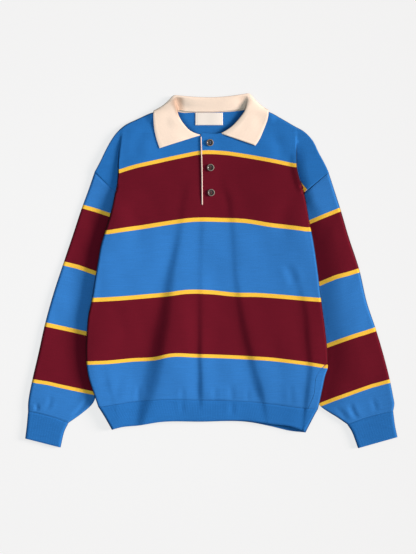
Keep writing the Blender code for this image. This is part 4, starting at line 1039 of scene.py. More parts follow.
def make_hem_rib(material):
    over, ribs = rib_shares(HEM_ENDS[1][1] - HEM_ENDS[1][0])
    under = edge_dense(110)
    shares = np.concatenate([[0.0, 0.02, 0.045, 0.075], np.linspace(0.13, 0.88, 11),
                             [0.94, 0.97, 0.99, 1.0]])
    drop = SEAM_GROOVE * (1.0 - step(shares, 0.0, 0.06)) + 1.2 * step(shares, 0.94, 1.0)
    walls = []
    for inset in (0.0, WALL):
        rings = []
        for share, dip in zip(shares, drop):
            left, right = (end * (1 - share) + lower * share for end, lower in zip(*HEM_ENDS))
            side = inset * SIDE_INSET
            ring = []
            for part, upper in ((over, True), (under[::-1], False)):
                x = left + side + (right - left - 2 * side) * part
                lower = height_of(HEM_FRONT if upper else HEM_BACK, x)
                y = (height_of(HEM_SEAM, x) - SEAM) * (1 - share) + lower * share
                points = np.column_stack([x, y])
                low = LIFTED * raised(points)
                top = hem_top(points)
                to_edge = np.minimum(x - left, right - x) - side
                middle = share_of(low, top, HEM_FOLD_HEIGHT)
                if upper:
                    z = middle + (top - inset - middle) * rounded_share(to_edge, FOLD_SOFT)
                    z += (ribs - dip if inset == 0.0 else 0.0) * step(to_edge, 0.0, FOLD_SOFT)
                else:
                    z = middle - (middle - inset - low) * rounded_share(to_edge, FOLD_FLOOR)
                ring.append(np.column_stack([points, z]))
            rings.append(np.concatenate(ring))
        walls.append(np.array(rings)[:, ::-1])
    around = np.concatenate([over, 2.0 - under[::-1]])[::-1] * (HEM_ENDS[0][1] - HEM_ENDS[0][0])
    down = np.outer(shares * HEM_DEEP, np.ones(len(around)))
    knit = np.stack([np.tile(around, (len(shares), 1)), down], axis=2)
    return dress(ring_walls("hem_rib_shell", walls[0], walls[1], knit), "hem_rib", material)


# ---- the two panels ---------------------------------------------------------
def fold_end(table, limit):
    """The panel's side below a fold at the shoulder; its second point is just past the armhole."""
    side = path(below(table, limit), OUTLINE_STEP)
    toward = (side[1] - side[0]) / np.linalg.norm(side[1] - side[0])
    return np.concatenate([side[:1], side[:1] + toward * 0.5, side[1:]])


def hidden_armhole(armhole, end, side):
    """Two lines beside the part of an armhole's seam under the body, one on each side of it."""
    across = armhole_directions(armhole)[1]
    share = np.linspace(0.0, 1.0, 6)[:, None]
    return [side[0] * (1 - share) + (end + across * 0.15) * share,
            side[1] * (1 - share) + (end - across * 0.15) * share]


def below(table, limit):
    """The rows of a table from a height downwards."""
    return [point for point in table if point[1] <= limit]


def shifted(line, distance):
    """A line moved to the right."""
    return np.asarray(line, float) + np.array([distance, 0.0])


def fold_lines(offsets):
    """Lines beside the two folds at the shoulders, at these distances towards the body."""
    lines = []
    for table, end, sign in ((LEFT_EDGE, LEFT_FOLD_END, 1.0), (RIGHT_EDGE, RIGHT_FOLD_END, -1.0)):
        part = [point for point in table if end + 2.0 < point[1] < FOLD_TOP + 5.0]
        for offset in offsets:
            lines.append(shifted(path(part, OUTLINE_STEP), sign * offset))
    return lines


def hem_line(left, right):
    """The hem seam between two places."""
    xs = np.linspace(left, right, int(abs(right - left) / OUTLINE_STEP) + 1)
    return np.column_stack([xs, height_of(HEM_SEAM, xs)])


def side_seam_lines(offsets):
    """Lines beside the right side seam, from where it leaves the edge down to the hem seam."""
    lines = []
    for offset in offsets:
        y = np.linspace(SIDE_SEAM[1][1], SIDE_SEAM[-1][1], 31)
        line = np.column_stack([edge_x(SIDE_SEAM, y) + offset, y])
        line[-1, 1] = height_of(HEM_SEAM, line[-1, 0])
        lines.append(line)
    return lines


def join(*stretches):
    """One closed outline from stretches that share their ends."""
    points = [tuple(point) for stretch in stretches for point in stretch]
    kept = [points[0]]
    for point in points[1:]:
        if math.dist(point, kept[-1]) > 0.05:
            kept.append(point)
    if math.dist(kept[0], kept[-1]) <= 0.05:
        kept.pop()
    return kept


EDGE_LINES = (0.8, 1.5, 2.3, 3.3, 5.4)         # lines beside a rounded edge
SEAM_LINES = (1.2, 2.6, 4.4)                    # lines above the hem seam


def rim_lines(left, right):
    """Lines beside the rounded edges and above the hem seam, where the form turns fast."""
    lines = []
    for distance in EDGE_LINES:
        for table, sign in ((LEFT_SHOULDER, 1), (RIGHT_SHOULDER, -1), (left, 1), (right, -1)):
            lines.append(beside(path(table, OUTLINE_STEP), sign * distance))
    seam_x = np.linspace(-232.0, 222.0, 115)
    for distance in SEAM_LINES:
        lines.append(np.column_stack([seam_x, height_of(HEM_SEAM, seam_x) + distance]))
    return lines


def make_front(material):
    slit_y = np.linspace(SLIT[0][1], SLIT[-1][1], 37)
    slit = np.column_stack([slit_x(slit_y), slit_y])
    slit_right = shifted(slit, SEAM)[::-1]
    left_side = fold_end(LEFT_EDGE, LEFT_FOLD_END)
    right_side = fold_end([p for p in RIGHT_EDGE if p[1] > -193.0] + [SIDE_SEAM[0]], RIGHT_FOLD_END)
    side_seam = np.concatenate([[SIDE_SEAM[0]], side_seam_lines((-SEAM,))[0]])
    outline = join(
        path(LEFT_SHOULDER, OUTLINE_STEP), [LEFT_SHOULDER[-1], left_side[0]], left_side,
        hem_line(LEFT_EDGE[-1][0], side_seam[-1, 0]), side_seam[::-1], right_side[::-1],
        [right_side[0], RIGHT_SHOULDER[-1]], path(RIGHT_SHOULDER, OUTLINE_STEP)[::-1],
        path(RIGHT_NECK, OUTLINE_STEP)[::-1], slit_right[::-1][:-1], [slit[-1]], slit[::-1],
        path(LEFT_NECK, OUTLINE_STEP)[::-1])
    left = below(LEFT_EDGE, LEFT_FOLD_END)
    right = below(RIGHT_EDGE, RIGHT_FOLD_END)
    lines = fold_lines(FOLD_OFFSETS) + rim_lines(left, right)
    lines += [shifted(slit[1:-1], offset) for offset in (-3.0, -1.2, 1.2 + SEAM, 3.5)]
    lines += [shifted(line, -offset) for offset in (1.2, 2.8) for line in side_seam_lines((-SEAM,))]
    thing = panel("body_front_shell", outline, lines, front_top, front_bottom, body_stripes)
    return dress(thing, "body_front", material), outline


def make_back(material):
    left_side = fold_end(LEFT_EDGE, LEFT_FOLD_END)
    right_side = fold_end(RIGHT_EDGE, RIGHT_FOLD_END)
    strip = side_seam_lines((-0.2, 0.2))
    outline = join(
        path(LEFT_SHOULDER, OUTLINE_STEP), [LEFT_SHOULDER[-1], left_side[0]], left_side,
        hem_line(LEFT_EDGE[-1][0], strip[0][-1, 0]), hem_line(strip[1][-1, 0], RIGHT_EDGE[-1][0]),
        right_side[::-1],
        [right_side[0], RIGHT_SHOULDER[-1]], path(RIGHT_SHOULDER, OUTLINE_STEP)[::-1],
        path(BACK_NECK, OUTLINE_STEP)[::-1])
    armholes = hidden_armhole(LEFT_ARMHOLE, LEFT_UNDERARM, left_side)
    armholes += hidden_armhole(RIGHT_ARMHOLE, RIGHT_UNDERARM, right_side)
    offsets = (INNER_EDGE, INNER_EDGE + RAMP)
    inner = [shifted(path(LEFT_INNER[2:], 22.0), offset) for offset in offsets]
    inner += [shifted(path(RIGHT_INNER[2:], 22.0), -offset) for offset in offsets]
    fall_x = np.linspace(-118.0, 116.0, 30)
    fall = [np.column_stack([fall_x, fall_edge(fall_x) - offset]) for offset in (4.0, 9.0, 15.0, 20.0)]
    roll = path([p for p in RIGHT_EDGE if p[1] < -190.0], OUTLINE_STEP)
    rolled = [beside(roll, -offset) for offset in EDGE_LINES]
    thing = panel("body_back_shell", outline, fold_lines(FOLD_OFFSETS) + inner + fall + rolled,
                  back_top_with_strip, back_bottom, back_stripes, armholes + strip, 5.5)
    return dress(thing, "body_back", material), outline


# ---- collar -----------------------------------------------------------------
WING_FLAT = 0.45        # the wings are pressed down to this share of the table's heights
BACK_FLAT = 0.85        # and the middle of the band behind the neck to this one
COLLAR_BEAD = 0.25      # the collar's edge is this much thicker
COLLAR_LINE = 0.12      # and the line inside it this much thinner
QUARTER = np.radians([30.0, 60.0, 90.0])


def stand(seam, roll, upright, crease):
    """The band from the seam up to the top of its roll: upright at the front, leaning out behind."""
    t = np.linspace(0.0, 1.0, 5)
    quarter = t * math.pi / 2
    out = share_of(t, 1 - np.cos(quarter), upright)
    leaning = share_of(step(t, 0.0, 1.0), t ** 2.4, crease)
    up = share_of(leaning, np.sin(quarter), upright)
    way = roll - seam
    return np.column_stack([seam[:2] + np.outer(out, way[:2]), seam[2] + up * way[2]])


def wing_section(row, upright):
    """The middle of the band across a wing: up from the seam, over the roll and out to the edge."""
    seam = np.array(row[0:3])
    roll = np.array(row[3:6])
    roll[2] = share_of(seam[2], roll[2], WING_FLAT)
    roll[:2] = share_of(seam[:2], roll[:2], 1.0 - 0.75 * upright)
    edge = np.array(row[6:8])
    edge_z, turn, slope, roundness = row[8:12]
    fall = share_of(turn, 1.0, np.array([0.15, 0.3, 0.45, 0.7, 1.0]))
    t = np.concatenate([turn * np.sin(QUARTER), fall])
    plan = roll[:2] + np.outer(t, edge - roll[:2])
    if edge_z is None:
        lying = front_top(plan) + COLLAR_WALL / 2 + COLLAR_GAP
        edge_z = lying[-1]
    else:
        lying = np.zeros(len(t))
    drop = share_of(step(t, 0.0, slope), 1 - np.sqrt(1 - t * t), roundness)
    high = np.maximum(share_of(roll[2], edge_z, drop), lying)
    return np.concatenate([stand(seam, roll, upright, 1.0), np.column_stack([plan, high])])


def back_section(row):
    """The middle of the band behind the neck, whose fall is folded under the back."""
    seam, roll, turn = np.array(row[0:9]).reshape(3, 3)
    edge = np.array([row[9], row[10], UNDER])
    aside = abs(roll[0])
    roll[2] = share_of(seam[2], roll[2], share_of(BACK_FLAT, WING_FLAT, step(aside, 40.0, 74.0)))
    fall = (edge - turn)[:2]
    length = np.linalg.norm(fall)
    reach = min(ROLL_RADIUS, 0.75 * length)
    below_turn = np.array([*(turn[:2] + fall / length * reach), UNDER])
    over = np.column_stack([roll[:2] + np.outer(np.sin(QUARTER), (turn - roll)[:2]),
                            roll[2] + (1 - np.cos(QUARTER)) * (turn - roll)[2]])
    back = np.column_stack([turn[:2] + np.outer(1 - np.cos(QUARTER), (below_turn - turn)[:2]),
                            turn[2] + np.sin(QUARTER) * (below_turn - turn)[2]])
    rising = stand(seam, roll, 0.0, step(aside, 55.0, 74.0))
    return np.concatenate([rising, over, back, [(below_turn + edge) / 2, edge]])


def halved(grid):
    """A grid of points with rows put between its own, smoothed along that way."""
    rows = np.empty((2 * len(grid) - 1, *grid.shape[1:]))
    rows[::2] = grid
    rows[1::2] = (grid[1:] + grid[:-1]) / 2
    rows[1:-1] = (rows[:-2] + 2 * rows[1:-1] + rows[2:]) / 4
    return rows


def finer(grid, times):
    """A grid of points made finer both ways."""
    for _ in range(times):
        grid = halved(halved(grid).swapaxes(0, 1)).swapaxes(0, 1)
    return grid


def collar_cut(grid):
    """Length, width and area of the collar's cloth, in metres."""
    steps = np.linalg.norm(np.diff(grid, axis=0), axis=2)
    widths = np.linalg.norm(np.diff(grid, axis=1), axis=2).sum(1)
    area = ((widths[1:] + widths[:-1]) / 2 * steps.mean(1)).sum()
    return steps.sum(0).max() * MM, widths.max() * MM, area * MM * MM


def make_collar(material):
    """The collar, and the size of its cloth."""
    leaning = np.concatenate([np.ones(5), [0.7, 0.45, 0.2]])
    sections = [wing_section(row, upright) for row, upright in zip(LEFT_WING, leaning)]
    sections += [back_section(row) for row in BACK_FALL]
    sections += [wing_section(row, upright) for row, upright in zip(RIGHT_WING, leaning[::-1])]
    grid = finer(halved(np.array(sections)), 2)
    rows, columns = grid.shape[:2]
    across = np.concatenate([[0.0], np.cumsum(np.linalg.norm(np.diff(grid, axis=1), axis=2).mean(0))])
    along = np.concatenate([[0.0], np.cumsum(np.linalg.norm(np.diff(grid, axis=0), axis=2).mean(1))])
    place = np.stack(np.meshgrid(across, along), axis=2)
    from_edge = np.minimum.reduce([across[-1] - place[:, :, 0], place[:, :, 1],
                                   along[-1] - place[:, :, 1]])
    half = COLLAR_WALL / 2 * share_of(0.35, 1.0, rounded_share(from_edge, 2.5))
    half += COLLAR_BEAD * np.exp(-((from_edge - 2.6) / 1.3) ** 2)
    half -= COLLAR_LINE * np.exp(-((from_edge - 6.0) / 1.2) ** 2)
    normal = np.cross(np.gradient(grid, axis=0), np.gradient(grid, axis=1))
    normal *= (half / np.linalg.norm(normal, axis=2))[:, :, None]
    vertices = np.concatenate([(grid + normal).reshape(-1, 3), (grid - normal).reshape(-1, 3)])
    vertices[:, 2] = np.maximum(vertices[:, 2], 0.0)
    place = place.reshape(-1, 2)
    x, y = vertices[:rows * columns, 0], vertices[:rows * columns, 1]
    # painted shade: the stand's inside ends get a darker tan cream where the fold shades them, weaker on
    # the right
    turned = (1.0 - step(place[:, 0], 17.0, 25.0)) * step(np.abs(x), 52.0, 66.0) * step(y, 316.0, 340.0)
    turned = np.tile(np.where(x < 0, turned, 0.35 * turned), 2)
    thing = make_piece("collar_shell", vertices, grid_wall(rows, columns), 70.0, np.tile(place, (2, 1)),
                       (turned, 0.0 * turned))
    return dress(thing, "collar", material), collar_cut(grid)


# ---- small pieces -----------------------------------------------------------
def make_edging(material):
    """The cream strip beside the slit: a rounded band, turned in at its lower end."""
    y = np.linspace(EDGING_TOP, SLIT[-1][1], 60)
    line = np.column_stack([slit_x(y), y])
    profile = [(1.9, 0.0), (1.75, 0.6), (1.3, 0.95), (0.65, 1.1), (0.0, 0.95), (-0.45, 0.6), (-0.6, 0.0)]
    sides = len(profile)
    end = 1 - 0.75 * (1 - rounded_share(y - SLIT[-1][1], 4.0))
    end -= 0.3 * (1 - rounded_share(EDGING_TOP - y, 3.0))
    vertices = []
    for (x, v), share in zip(line, end):
        seat = front_top(np.array([[x + profile[-1][0], v], [x + profile[0][0], v]])).max() + CLEAR
        vertices += [(x + u, v, seat + z * share) for u, z in profile]
    faces = [tuple(range(sides))]
    for i in range(len(line) - 1):
        a = sides * i
        for k in range(sides):
            m = (k + 1) % sides
            faces.append((a + m, a + k, a + sides + k, a + sides + m))
    last = sides * (len(line) - 1)
    faces.append(tuple(last + k for k in reversed(range(sides))))
    return dress(make_piece("edging_shell", vertices, faces, 60.0), "placket_edging", material)


def make_label(material):
    """A blank woven label with rounded edges, bowed up slightly in its middle, with a shallow dip near each
    end.
    """
    cx, cy = LABEL_CENTRE
    xs = cx + np.linspace(-LABEL_WIDE / 2, LABEL_WIDE / 2, 59)
    ys = cy + np.linspace(-LABEL_LONG / 2, LABEL_LONG / 2, 27)
    plan = np.array([(x, y) for x in xs for y in ys])
    low = back_top(plan) + 0.35
    from_middle = np.abs(plan - [cx, cy])
    bow = 0.35 * (1 - (from_middle[:, 0] / (LABEL_WIDE / 2)) ** 2) + 0.12 * np.sin(plan[:, 0] / 6.0)
    in_x = LABEL_WIDE / 2 - from_middle[:, 0]
    in_y = LABEL_LONG / 2 - from_middle[:, 1]
    thick = share_of(0.25, LABEL_THICK, rounded_share(np.minimum(in_x, in_y), 1.2))
    fold = 0.25 * np.exp(-((in_x - 3.0) / 0.7) ** 2)
    high = low + thick + bow - fold
    vertices = np.concatenate([np.column_stack([plan, high]), np.column_stack([plan, low])])
    thing = make_piece("neck_label_shell", vertices, grid_wall(len(xs), len(ys)))
    return dress(thing, "neck_label", material)


def lathe(profile, sides, centre):
    """Vertices and faces of a closed turned shape, its profile running from the axis to the axis."""
    vertices = [(centre[0], centre[1], centre[2] + profile[0][1])]
    for r, z in profile[1:-1]:
        for k in range(sides):
            angle = 2 * math.pi * k / sides
            vertices.append((centre[0] + r * math.cos(angle), centre[1] + r * math.sin(angle),
                             centre[2] + z))
    vertices.append((centre[0], centre[1], centre[2] + profile[-1][1]))
    faces = []
    for k in range(sides):
        m = (k + 1) % sides
        faces.append((0, 1 + m, 1 + k))
        for ring in range(len(profile) - 3):
            a = 1 + ring * sides
            faces.append((a + k, a + m, a + sides + m, a + sides + k))
        last = 1 + (len(profile) - 3) * sides
        faces.append((last + k, last + m, len(vertices) - 1))
    return vertices, faces


# A button's outline from its seat over the rim to the dished middle: distance from its edge, and z.
BUTTON_PROFILE = [(2.2, 0.0), (0.9, 0.4), (0.15, 1.2), (0.0, 1.7), (0.15, 2.3), (0.6, 2.8), (1.2, 3.0),
                  (1.8, 2.85), (2.4, 2.4), (3.0, 1.95), (3.8, 1.7), (5.2, 1.6)]
BUTTON_STEPS = 48       # points round a button
RIM_WIDE = 1.75         # of a button's rim, painted paler as a highlight
HOLE_RADIUS = 0.95
THREAD_RADIUS = 0.28
THREAD_HIGH = 1.0       # height above the button's seat where a strand comes out of its hole
THREAD_BOW = 1.15       # how much higher it passes between the holes
THREAD_RING = 8         # points round a strand
THREAD_STEPS = 12       # points along it


def crossed_thread(name, x, y, seat, thread):
    """Four strands of thread, two between each pair of holes."""
    angles = np.linspace(0, 2 * math.pi, THREAD_RING + 1)[:-1]
    ring = [(math.cos(b) * THREAD_RADIUS, math.sin(b) * THREAD_RADIUS) for b in angles]
    near = BUTTON_HOLE_APART / 2
    strands = []
    faces = []
    for sy in (-1, 1):
        for lane in (-0.3, 0.3):
            middle = np.array([(x + near * math.cos(a), y + sy * near + lane,
                                seat + THREAD_HIGH + THREAD_BOW * math.sin(a))
                               for a in np.linspace(0, math.pi, THREAD_STEPS)])
            base = len(strands)
            for i, point in enumerate(middle):
                ahead = middle[min(i + 1, THREAD_STEPS - 1)] - middle[max(i - 1, 0)]
                up = np.array([-ahead[2], 0.0, ahead[0]]) / np.hypot(ahead[0], ahead[2])
                strands += [tuple(point + up * v + np.array([0.0, 1.0, 0.0]) * u) for u, v in ring]
            for a in range(base, base + THREAD_RING * (THREAD_STEPS - 1), THREAD_RING):
                for k in range(THREAD_RING):
                    m = (k + 1) % THREAD_RING
                    faces.append((a + k, a + m, a + THREAD_RING + m, a + THREAD_RING + k))
            end = base + THREAD_RING * (THREAD_STEPS - 1)
            faces.append(tuple(base + k for k in reversed(range(THREAD_RING))))
            faces.append(tuple(end + k for k in range(THREAD_RING)))
    sewn = make_piece(name + "_thread", strands, faces, 60.0)
    sewn.data.materials.append(thread)
    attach(sewn, "root")


def make_button(name, x, y, material, rim, thread):
    """A turned button with a rounded rim, a dished middle, four holes and the thread in them."""
    radius = BUTTON_ACROSS / 2
    profile = [(0.0, 0.0), *[(radius - inset, z) for inset, z in BUTTON_PROFILE], (0.0, 1.6)]
    around = np.array([[x - 5, y], [x + 5, y], [x, y - 5], [x, y + 5], [x, y]])
    seat = float(front_top(around).max()) + CLEAR
    vertices, faces = lathe(profile, BUTTON_STEPS, (x, y, seat))
    button = make_piece(name + "_turned", vertices, faces, 40.0)
    for sx in (-1, 1):
        for sy in (-1, 1):
            bpy.ops.mesh.primitive_cylinder_add(
                vertices=18, radius=HOLE_RADIUS * MM, depth=10 * MM, rotation=(0.0, 0.0, 0.05),
                location=((x + sx * BUTTON_HOLE_APART / 2) * MM, (y + sy * BUTTON_HOLE_APART / 2) * MM,
                          (seat + 1.0) * MM))
            cutter = bpy.context.active_object
            cut = button.modifiers.new("hole", "BOOLEAN")
            cut.operation = "DIFFERENCE"
            cut.solver = "EXACT"
            cut.object = cutter
            bpy.context.view_layer.objects.active = button
            bpy.ops.object.modifier_apply(modifier="hole")
            bpy.data.objects.remove(cutter, do_unlink=True)
    dress(button, name, material)
    # painted highlight: the outer rim gets a paler brown than the dark middle
    button.data.materials.append(rim)
    for face in button.data.polygons:
        from_middle = math.hypot(face.center.x - x * MM, face.center.y - y * MM)
        face.material_index = int(from_middle > (radius - RIM_WIDE) * MM)
    crossed_thread(name, x, y, seat, thread)
    return button


# ---- materials --------------------------------------------------------------
BLUE = (0.0300, 0.180, 0.508)
# painted shade: the blue above the first line is darker, standing for less light towards the collar
YOKE_PAINTED_SHADE_BLUE = (0.0195, 0.158, 0.47)
# painted shade: the inside of the back beside the neck, where the collar shades it
NECK_PAINTED_SHADE_BLUE = (0.008, 0.085, 0.28)
MAROON = (0.130, 0.0047, 0.0147)
YELLOW = (0.94, 0.54, 0.055)
CREAM = (0.98, 0.79, 0.645)
# painted shade at the collar stand's inside ends
PAINTED_SHADE_CREAM = (0.60, 0.42, 0.31)
RIB_BLUE = (0.0205, 0.156, 0.462)
SKY = 0.215             # of the even light from all sides
FILL = 0.298            # of the wide lamp above
KEY = 0.574             # of the low lamp at the right
KEY_HEIGHT = 20.0       # degrees above the surface
KEY_TURN = 8.0          # degrees from the right towards the collar
KEY_SIZE = 18.0         # degrees across
SHADE_TINT = (0.84, 1.0, 1.07)      # of the light that reaches the shadows
KEY_TINT = (1.142, 1.0, 0.938)      # of the low lamp; together they are white
FILL_AT = (-0.14, -0.03, 0.9)       # the wide lamp, in metres
FILL_SIZE = 0.5
KEY_AWAY = 4.0                      # the low lamp is this many metres away
FLOOR_GREY = 0.16
FLOOR_GLOW = 0.744                  # the surface's own light, which keeps it as pale as the photo's
CAMERA_AT = (-0.007, -0.0116, 3.24)
CAMERA_LENS = 100.0                 # mm, on a sensor 36 mm high


class Nodes:
    """Short ways to add and join the nodes of a material."""

    def __init__(self, name, roughness, specular=0.5, sheen=0.0):
        self.material = bpy.data.materials.new(name)
        self.material.use_nodes = True
        self.tree = self.material.node_tree
        self.shader = self.tree.nodes["Principled BSDF"]
        self.shader.inputs["Roughness"].default_value = roughness
        self.shader.inputs["Metallic"].default_value = 0.0
        self.shader.inputs["Specular IOR Level"].default_value = specular
        self.shader.inputs["Sheen Weight"].default_value = sheen
        self.shader.inputs["Sheen Roughness"].default_value = 0.6

    def put(self, socket, value):
        if isinstance(value, bpy.types.NodeSocket):
            self.tree.links.new(value, socket)
        else:
            socket.default_value = value

    def attribute(self, name, output="Fac"):
        node = self.tree.nodes.new("ShaderNodeAttribute")
        node.attribute_name = name
        return node.outputs[output]

    def math(self, kind, first, second=0.0):
        node = self.tree.nodes.new("ShaderNodeMath")
        node.operation = kind
        self.put(node.inputs[0], first)
        self.put(node.inputs[1], second)
        return node.outputs[0]

    def mix(self, share, first, second, kind="MIX"):
        node = self.tree.nodes.new("ShaderNodeMix")
        node.data_type = "RGBA"
        node.blend_type = kind
        self.put(node.inputs["Factor"], share)
        self.put(node.inputs["A"], (*first, 1.0) if isinstance(first, tuple) else first)
        self.put(node.inputs["B"], (*second, 1.0) if isinstance(second, tuple) else second)
        return node.outputs["Result"]

    def noise(self, place, scale, detail=2.0, roughness=0.5):
        node = self.tree.nodes.new("ShaderNodeTexNoise")
        self.put(node.inputs["Vector"], place)
        node.inputs["Scale"].default_value = scale
        node.inputs["Detail"].default_value = detail
        node.inputs["Roughness"].default_value = roughness
        return node.outputs["Fac"]

    def scaled(self, place, scale):
        node = self.tree.nodes.new("ShaderNodeVectorMath")
        node.operation = "MULTIPLY"
        self.put(node.inputs[0], place)
        node.inputs[1].default_value = scale
        return node.outputs[0]

    def split(self, place):
        node = self.tree.nodes.new("ShaderNodeSeparateXYZ")
        self.put(node.inputs[0], place)
        return node.outputs

    def smooth_range(self, value, low, high, to_low=0.0, to_high=1.0):
        node = self.tree.nodes.new("ShaderNodeMapRange")
        node.interpolation_type = "SMOOTHSTEP"
        self.put(node.inputs["Value"], value)
        node.inputs["From Min"].default_value = low
        node.inputs["From Max"].default_value = high
        node.inputs["To Min"].default_value = to_low
        node.inputs["To Max"].default_value = to_high
        return node.outputs["Result"]

    def shaded(self, colour, shade):
        """The colour times a plain number."""
        grey = self.tree.nodes.new("ShaderNodeCombineXYZ")
        for socket in grey.inputs:
            self.put(socket, shade)
        return self.mix(1.0, colour, grey.outputs[0], "MULTIPLY")

    def bump(self, height, strength, distance):
        node = self.tree.nodes.new("ShaderNodeBump")
        self.put(node.inputs["Height"], height)
        node.inputs["Strength"].default_value = strength
        node.inputs["Distance"].default_value = distance
        self.put(self.shader.inputs["Normal"], node.outputs["Normal"])


WALE = 1.9              # width of one column of stitches
COURSE = 1.5            # height of one row of stitches
HEATHER = 0.12          # the yarn is lighter and darker by this share
STREAK = 0.04           # and its streaks by this one
CLOUD = 0.03            # and large patches of the cloth by this one
LINE_BLUR = 0.35        # half the width in which a yellow line's edge fades
COLLAR_RIB = 2.6        # from one fine rib of the collar to the next


def steep_painted_shade(nodes, colour, least):
    """Painted shade: the colour, darker where the cloth turns over at an edge and its surface faces away
    from straight up.
    """
    facing = nodes.split(nodes.tree.nodes.new("ShaderNodeNewGeometry").outputs["Normal"])[2]
    return nodes.shaded(colour, nodes.smooth_range(facing, 0.35, 0.97, least, 1.0))


def stitches(nodes, place):
    """Height of plain knitting: columns of stitches whose two legs lean towards each other."""
    across, up, _ = nodes.split(place)
    column = nodes.math("FRACT", nodes.math("DIVIDE", across, WALE))
    side = nodes.math("ABSOLUTE", nodes.math("SUBTRACT", nodes.math("MULTIPLY", column, 2.0), 1.0))
    lean = nodes.math("MULTIPLY", side, 0.6)
    row = nodes.math("FRACT", nodes.math("ADD", nodes.math("DIVIDE", up, COURSE), lean))
    leg = nodes.math("SINE", nodes.math("MULTIPLY", row, math.pi))
    column_round = nodes.math("SUBTRACT", 1.0, nodes.math("MULTIPLY", side, side))
    return nodes.math("MULTIPLY", column_round, nodes.math("ADD", nodes.math("MULTIPLY", leg, 0.5), 0.5))


def striped_colour(nodes, place):
    """The yellow lines and the bands between them, from the facts that a piece's points carry."""
    fray = nodes.math("MULTIPLY", nodes.math("SUBTRACT", nodes.noise(place, 0.9), 0.5), 0.9)
    away = nodes.math("ADD", nodes.attribute("away"), fray)
    band = nodes.attribute("maroon")
    # painted shade: bands below -0.5 get darker blues, above the first line and beside the neck
    deep = nodes.mix(nodes.smooth_range(band, -2.0, -1.0), NECK_PAINTED_SHADE_BLUE, YOKE_PAINTED_SHADE_BLUE)
    blues = nodes.mix(nodes.smooth_range(band, -0.55, -0.45), deep, BLUE)
    ground = nodes.mix(nodes.smooth_range(band, 0.45, 0.55), blues, MAROON)
    off_line = nodes.smooth_range(away, LINE_WIDTH / 2 - LINE_BLUR, LINE_WIDTH / 2 + LINE_BLUR)
    return nodes.mix(off_line, YELLOW, ground)


def knitted(name, colour=None):
    """Fine matt knit: its colour or its stripes, heathered yarn, slow streaks and stitches."""
    nodes = Nodes(name, 0.92, 0.06, 0.02)
    place = nodes.attribute("knit", "Vector")
    base = striped_colour(nodes, place) if colour is None else colour
    yarn = nodes.noise(place, 0.55, 3.0, 0.65)
    long_streak = nodes.noise(nodes.scaled(place, (0.06, 1.0, 1.0)), 0.42, 3.0, 0.6)
    cloud = nodes.noise(place, 0.012, 2.0, 0.5)
    light = nodes.math("ADD", nodes.smooth_range(yarn, 0.25, 0.75, -HEATHER, HEATHER),
                       nodes.smooth_range(long_streak, 0.3, 0.7, -STREAK, STREAK))
    light = nodes.math("ADD", light, nodes.smooth_range(cloud, 0.3, 0.7, -CLOUD, CLOUD))
    colour_out = nodes.shaded(base, nodes.math("ADD", light, 1.0))
    # painted shade: the colour is darker on steep sides of edges and folds
    nodes.put(nodes.shader.inputs["Base Color"], steep_painted_shade(nodes, colour_out, 0.25))
    relief = nodes.math("ADD", stitches(nodes, place), nodes.math("MULTIPLY", yarn, 0.5))
    nodes.bump(relief, 0.35, 0.4 * MM)
    return nodes.material


def plain(name, colour, roughness, speck=0.06, size=0.8, relief=0.15, specular=0.1):
    """A matt surface with slight unevenness of its own."""
    nodes = Nodes(name, roughness, specular)
    grain = nodes.noise(nodes.attribute("knit", "Vector"), size, 3.0, 0.6)
    shade = nodes.smooth_range(grain, 0.3, 0.7, 1.0 - speck, 1.0 + speck)
    nodes.put(nodes.shader.inputs["Base Color"], nodes.shaded(colour, shade))
    nodes.bump(grain, relief, 0.3 * MM)
    return nodes.material


def ribbed_cream(name):
    """The collar's fine ribbing: shallow ribs across the band, and slightly uneven yarn."""
    nodes = Nodes(name, 0.92, 0.06, 0.02)
    place = nodes.attribute("knit", "Vector")
    along = nodes.split(place)[1]
    wave = nodes.math("SINE", nodes.math("MULTIPLY", along, 2 * math.pi / COLLAR_RIB))
    yarn = nodes.noise(nodes.scaled(place, (0.35, 1.0, 1.0)), 0.8, 3.0, 0.6)
    cloud = nodes.noise(place, 0.02, 2.0, 0.5)
    shade = nodes.math("ADD", nodes.smooth_range(yarn, 0.25, 0.75, 0.965, 1.02),
                       nodes.smooth_range(cloud, 0.3, 0.7, -0.02, 0.02))
    shade = nodes.math("ADD", shade, nodes.math("MULTIPLY", wave, 0.012))
    # painted shade: the away attribute darkens the cream at the stand's inside ends
    colour = nodes.shaded(nodes.mix(nodes.attribute("away"), CREAM, PAINTED_SHADE_CREAM), shade)
    # painted shade: the cream is darker on steep sides of the collar's edges and roll
    nodes.put(nodes.shader.inputs["Base Color"], steep_painted_shade(nodes, colour, 0.45))
    nodes.bump(nodes.math("ADD", wave, nodes.math("MULTIPLY", yarn, 1.2)), 0.3, 0.25 * MM)
    return nodes.material


striped = knitted("striped knit")
rib_knit = knitted("blue rib", RIB_BLUE)
cream_knit = ribbed_cream("cream knit")
edging_knit = plain("cream edging", (0.74, 0.57, 0.50), 0.85, 0.05, 0.9, 0.25)
label_cloth = plain("blank label", (0.88, 0.80, 0.72), 0.75, 0.03, 1.4, 0.2)
button_horn = plain("brown button", (0.040, 0.027, 0.023), 0.42, 0.25, 0.35, 0.03, 0.4)
# painted highlight: a paler brown for the button's rim
button_rim_highlight = plain("button rim painted highlight", (0.20, 0.165, 0.14), 0.45, 0.3, 0.5, 0.03, 0.4)
for horn in (button_horn, button_rim_highlight):
    horn.node_tree.nodes["Principled BSDF"].inputs["Coat Weight"].default_value = 0.2
blue_thread = plain("blue sewing thread", (0.14, 0.22, 0.34), 0.8, 0.1, 2.0, 0.1)
red_thread = plain("maroon sewing thread", (0.21, 0.035, 0.045), 0.8, 0.1, 2.0, 0.1)
threads = [blue_thread, red_thread, red_thread]

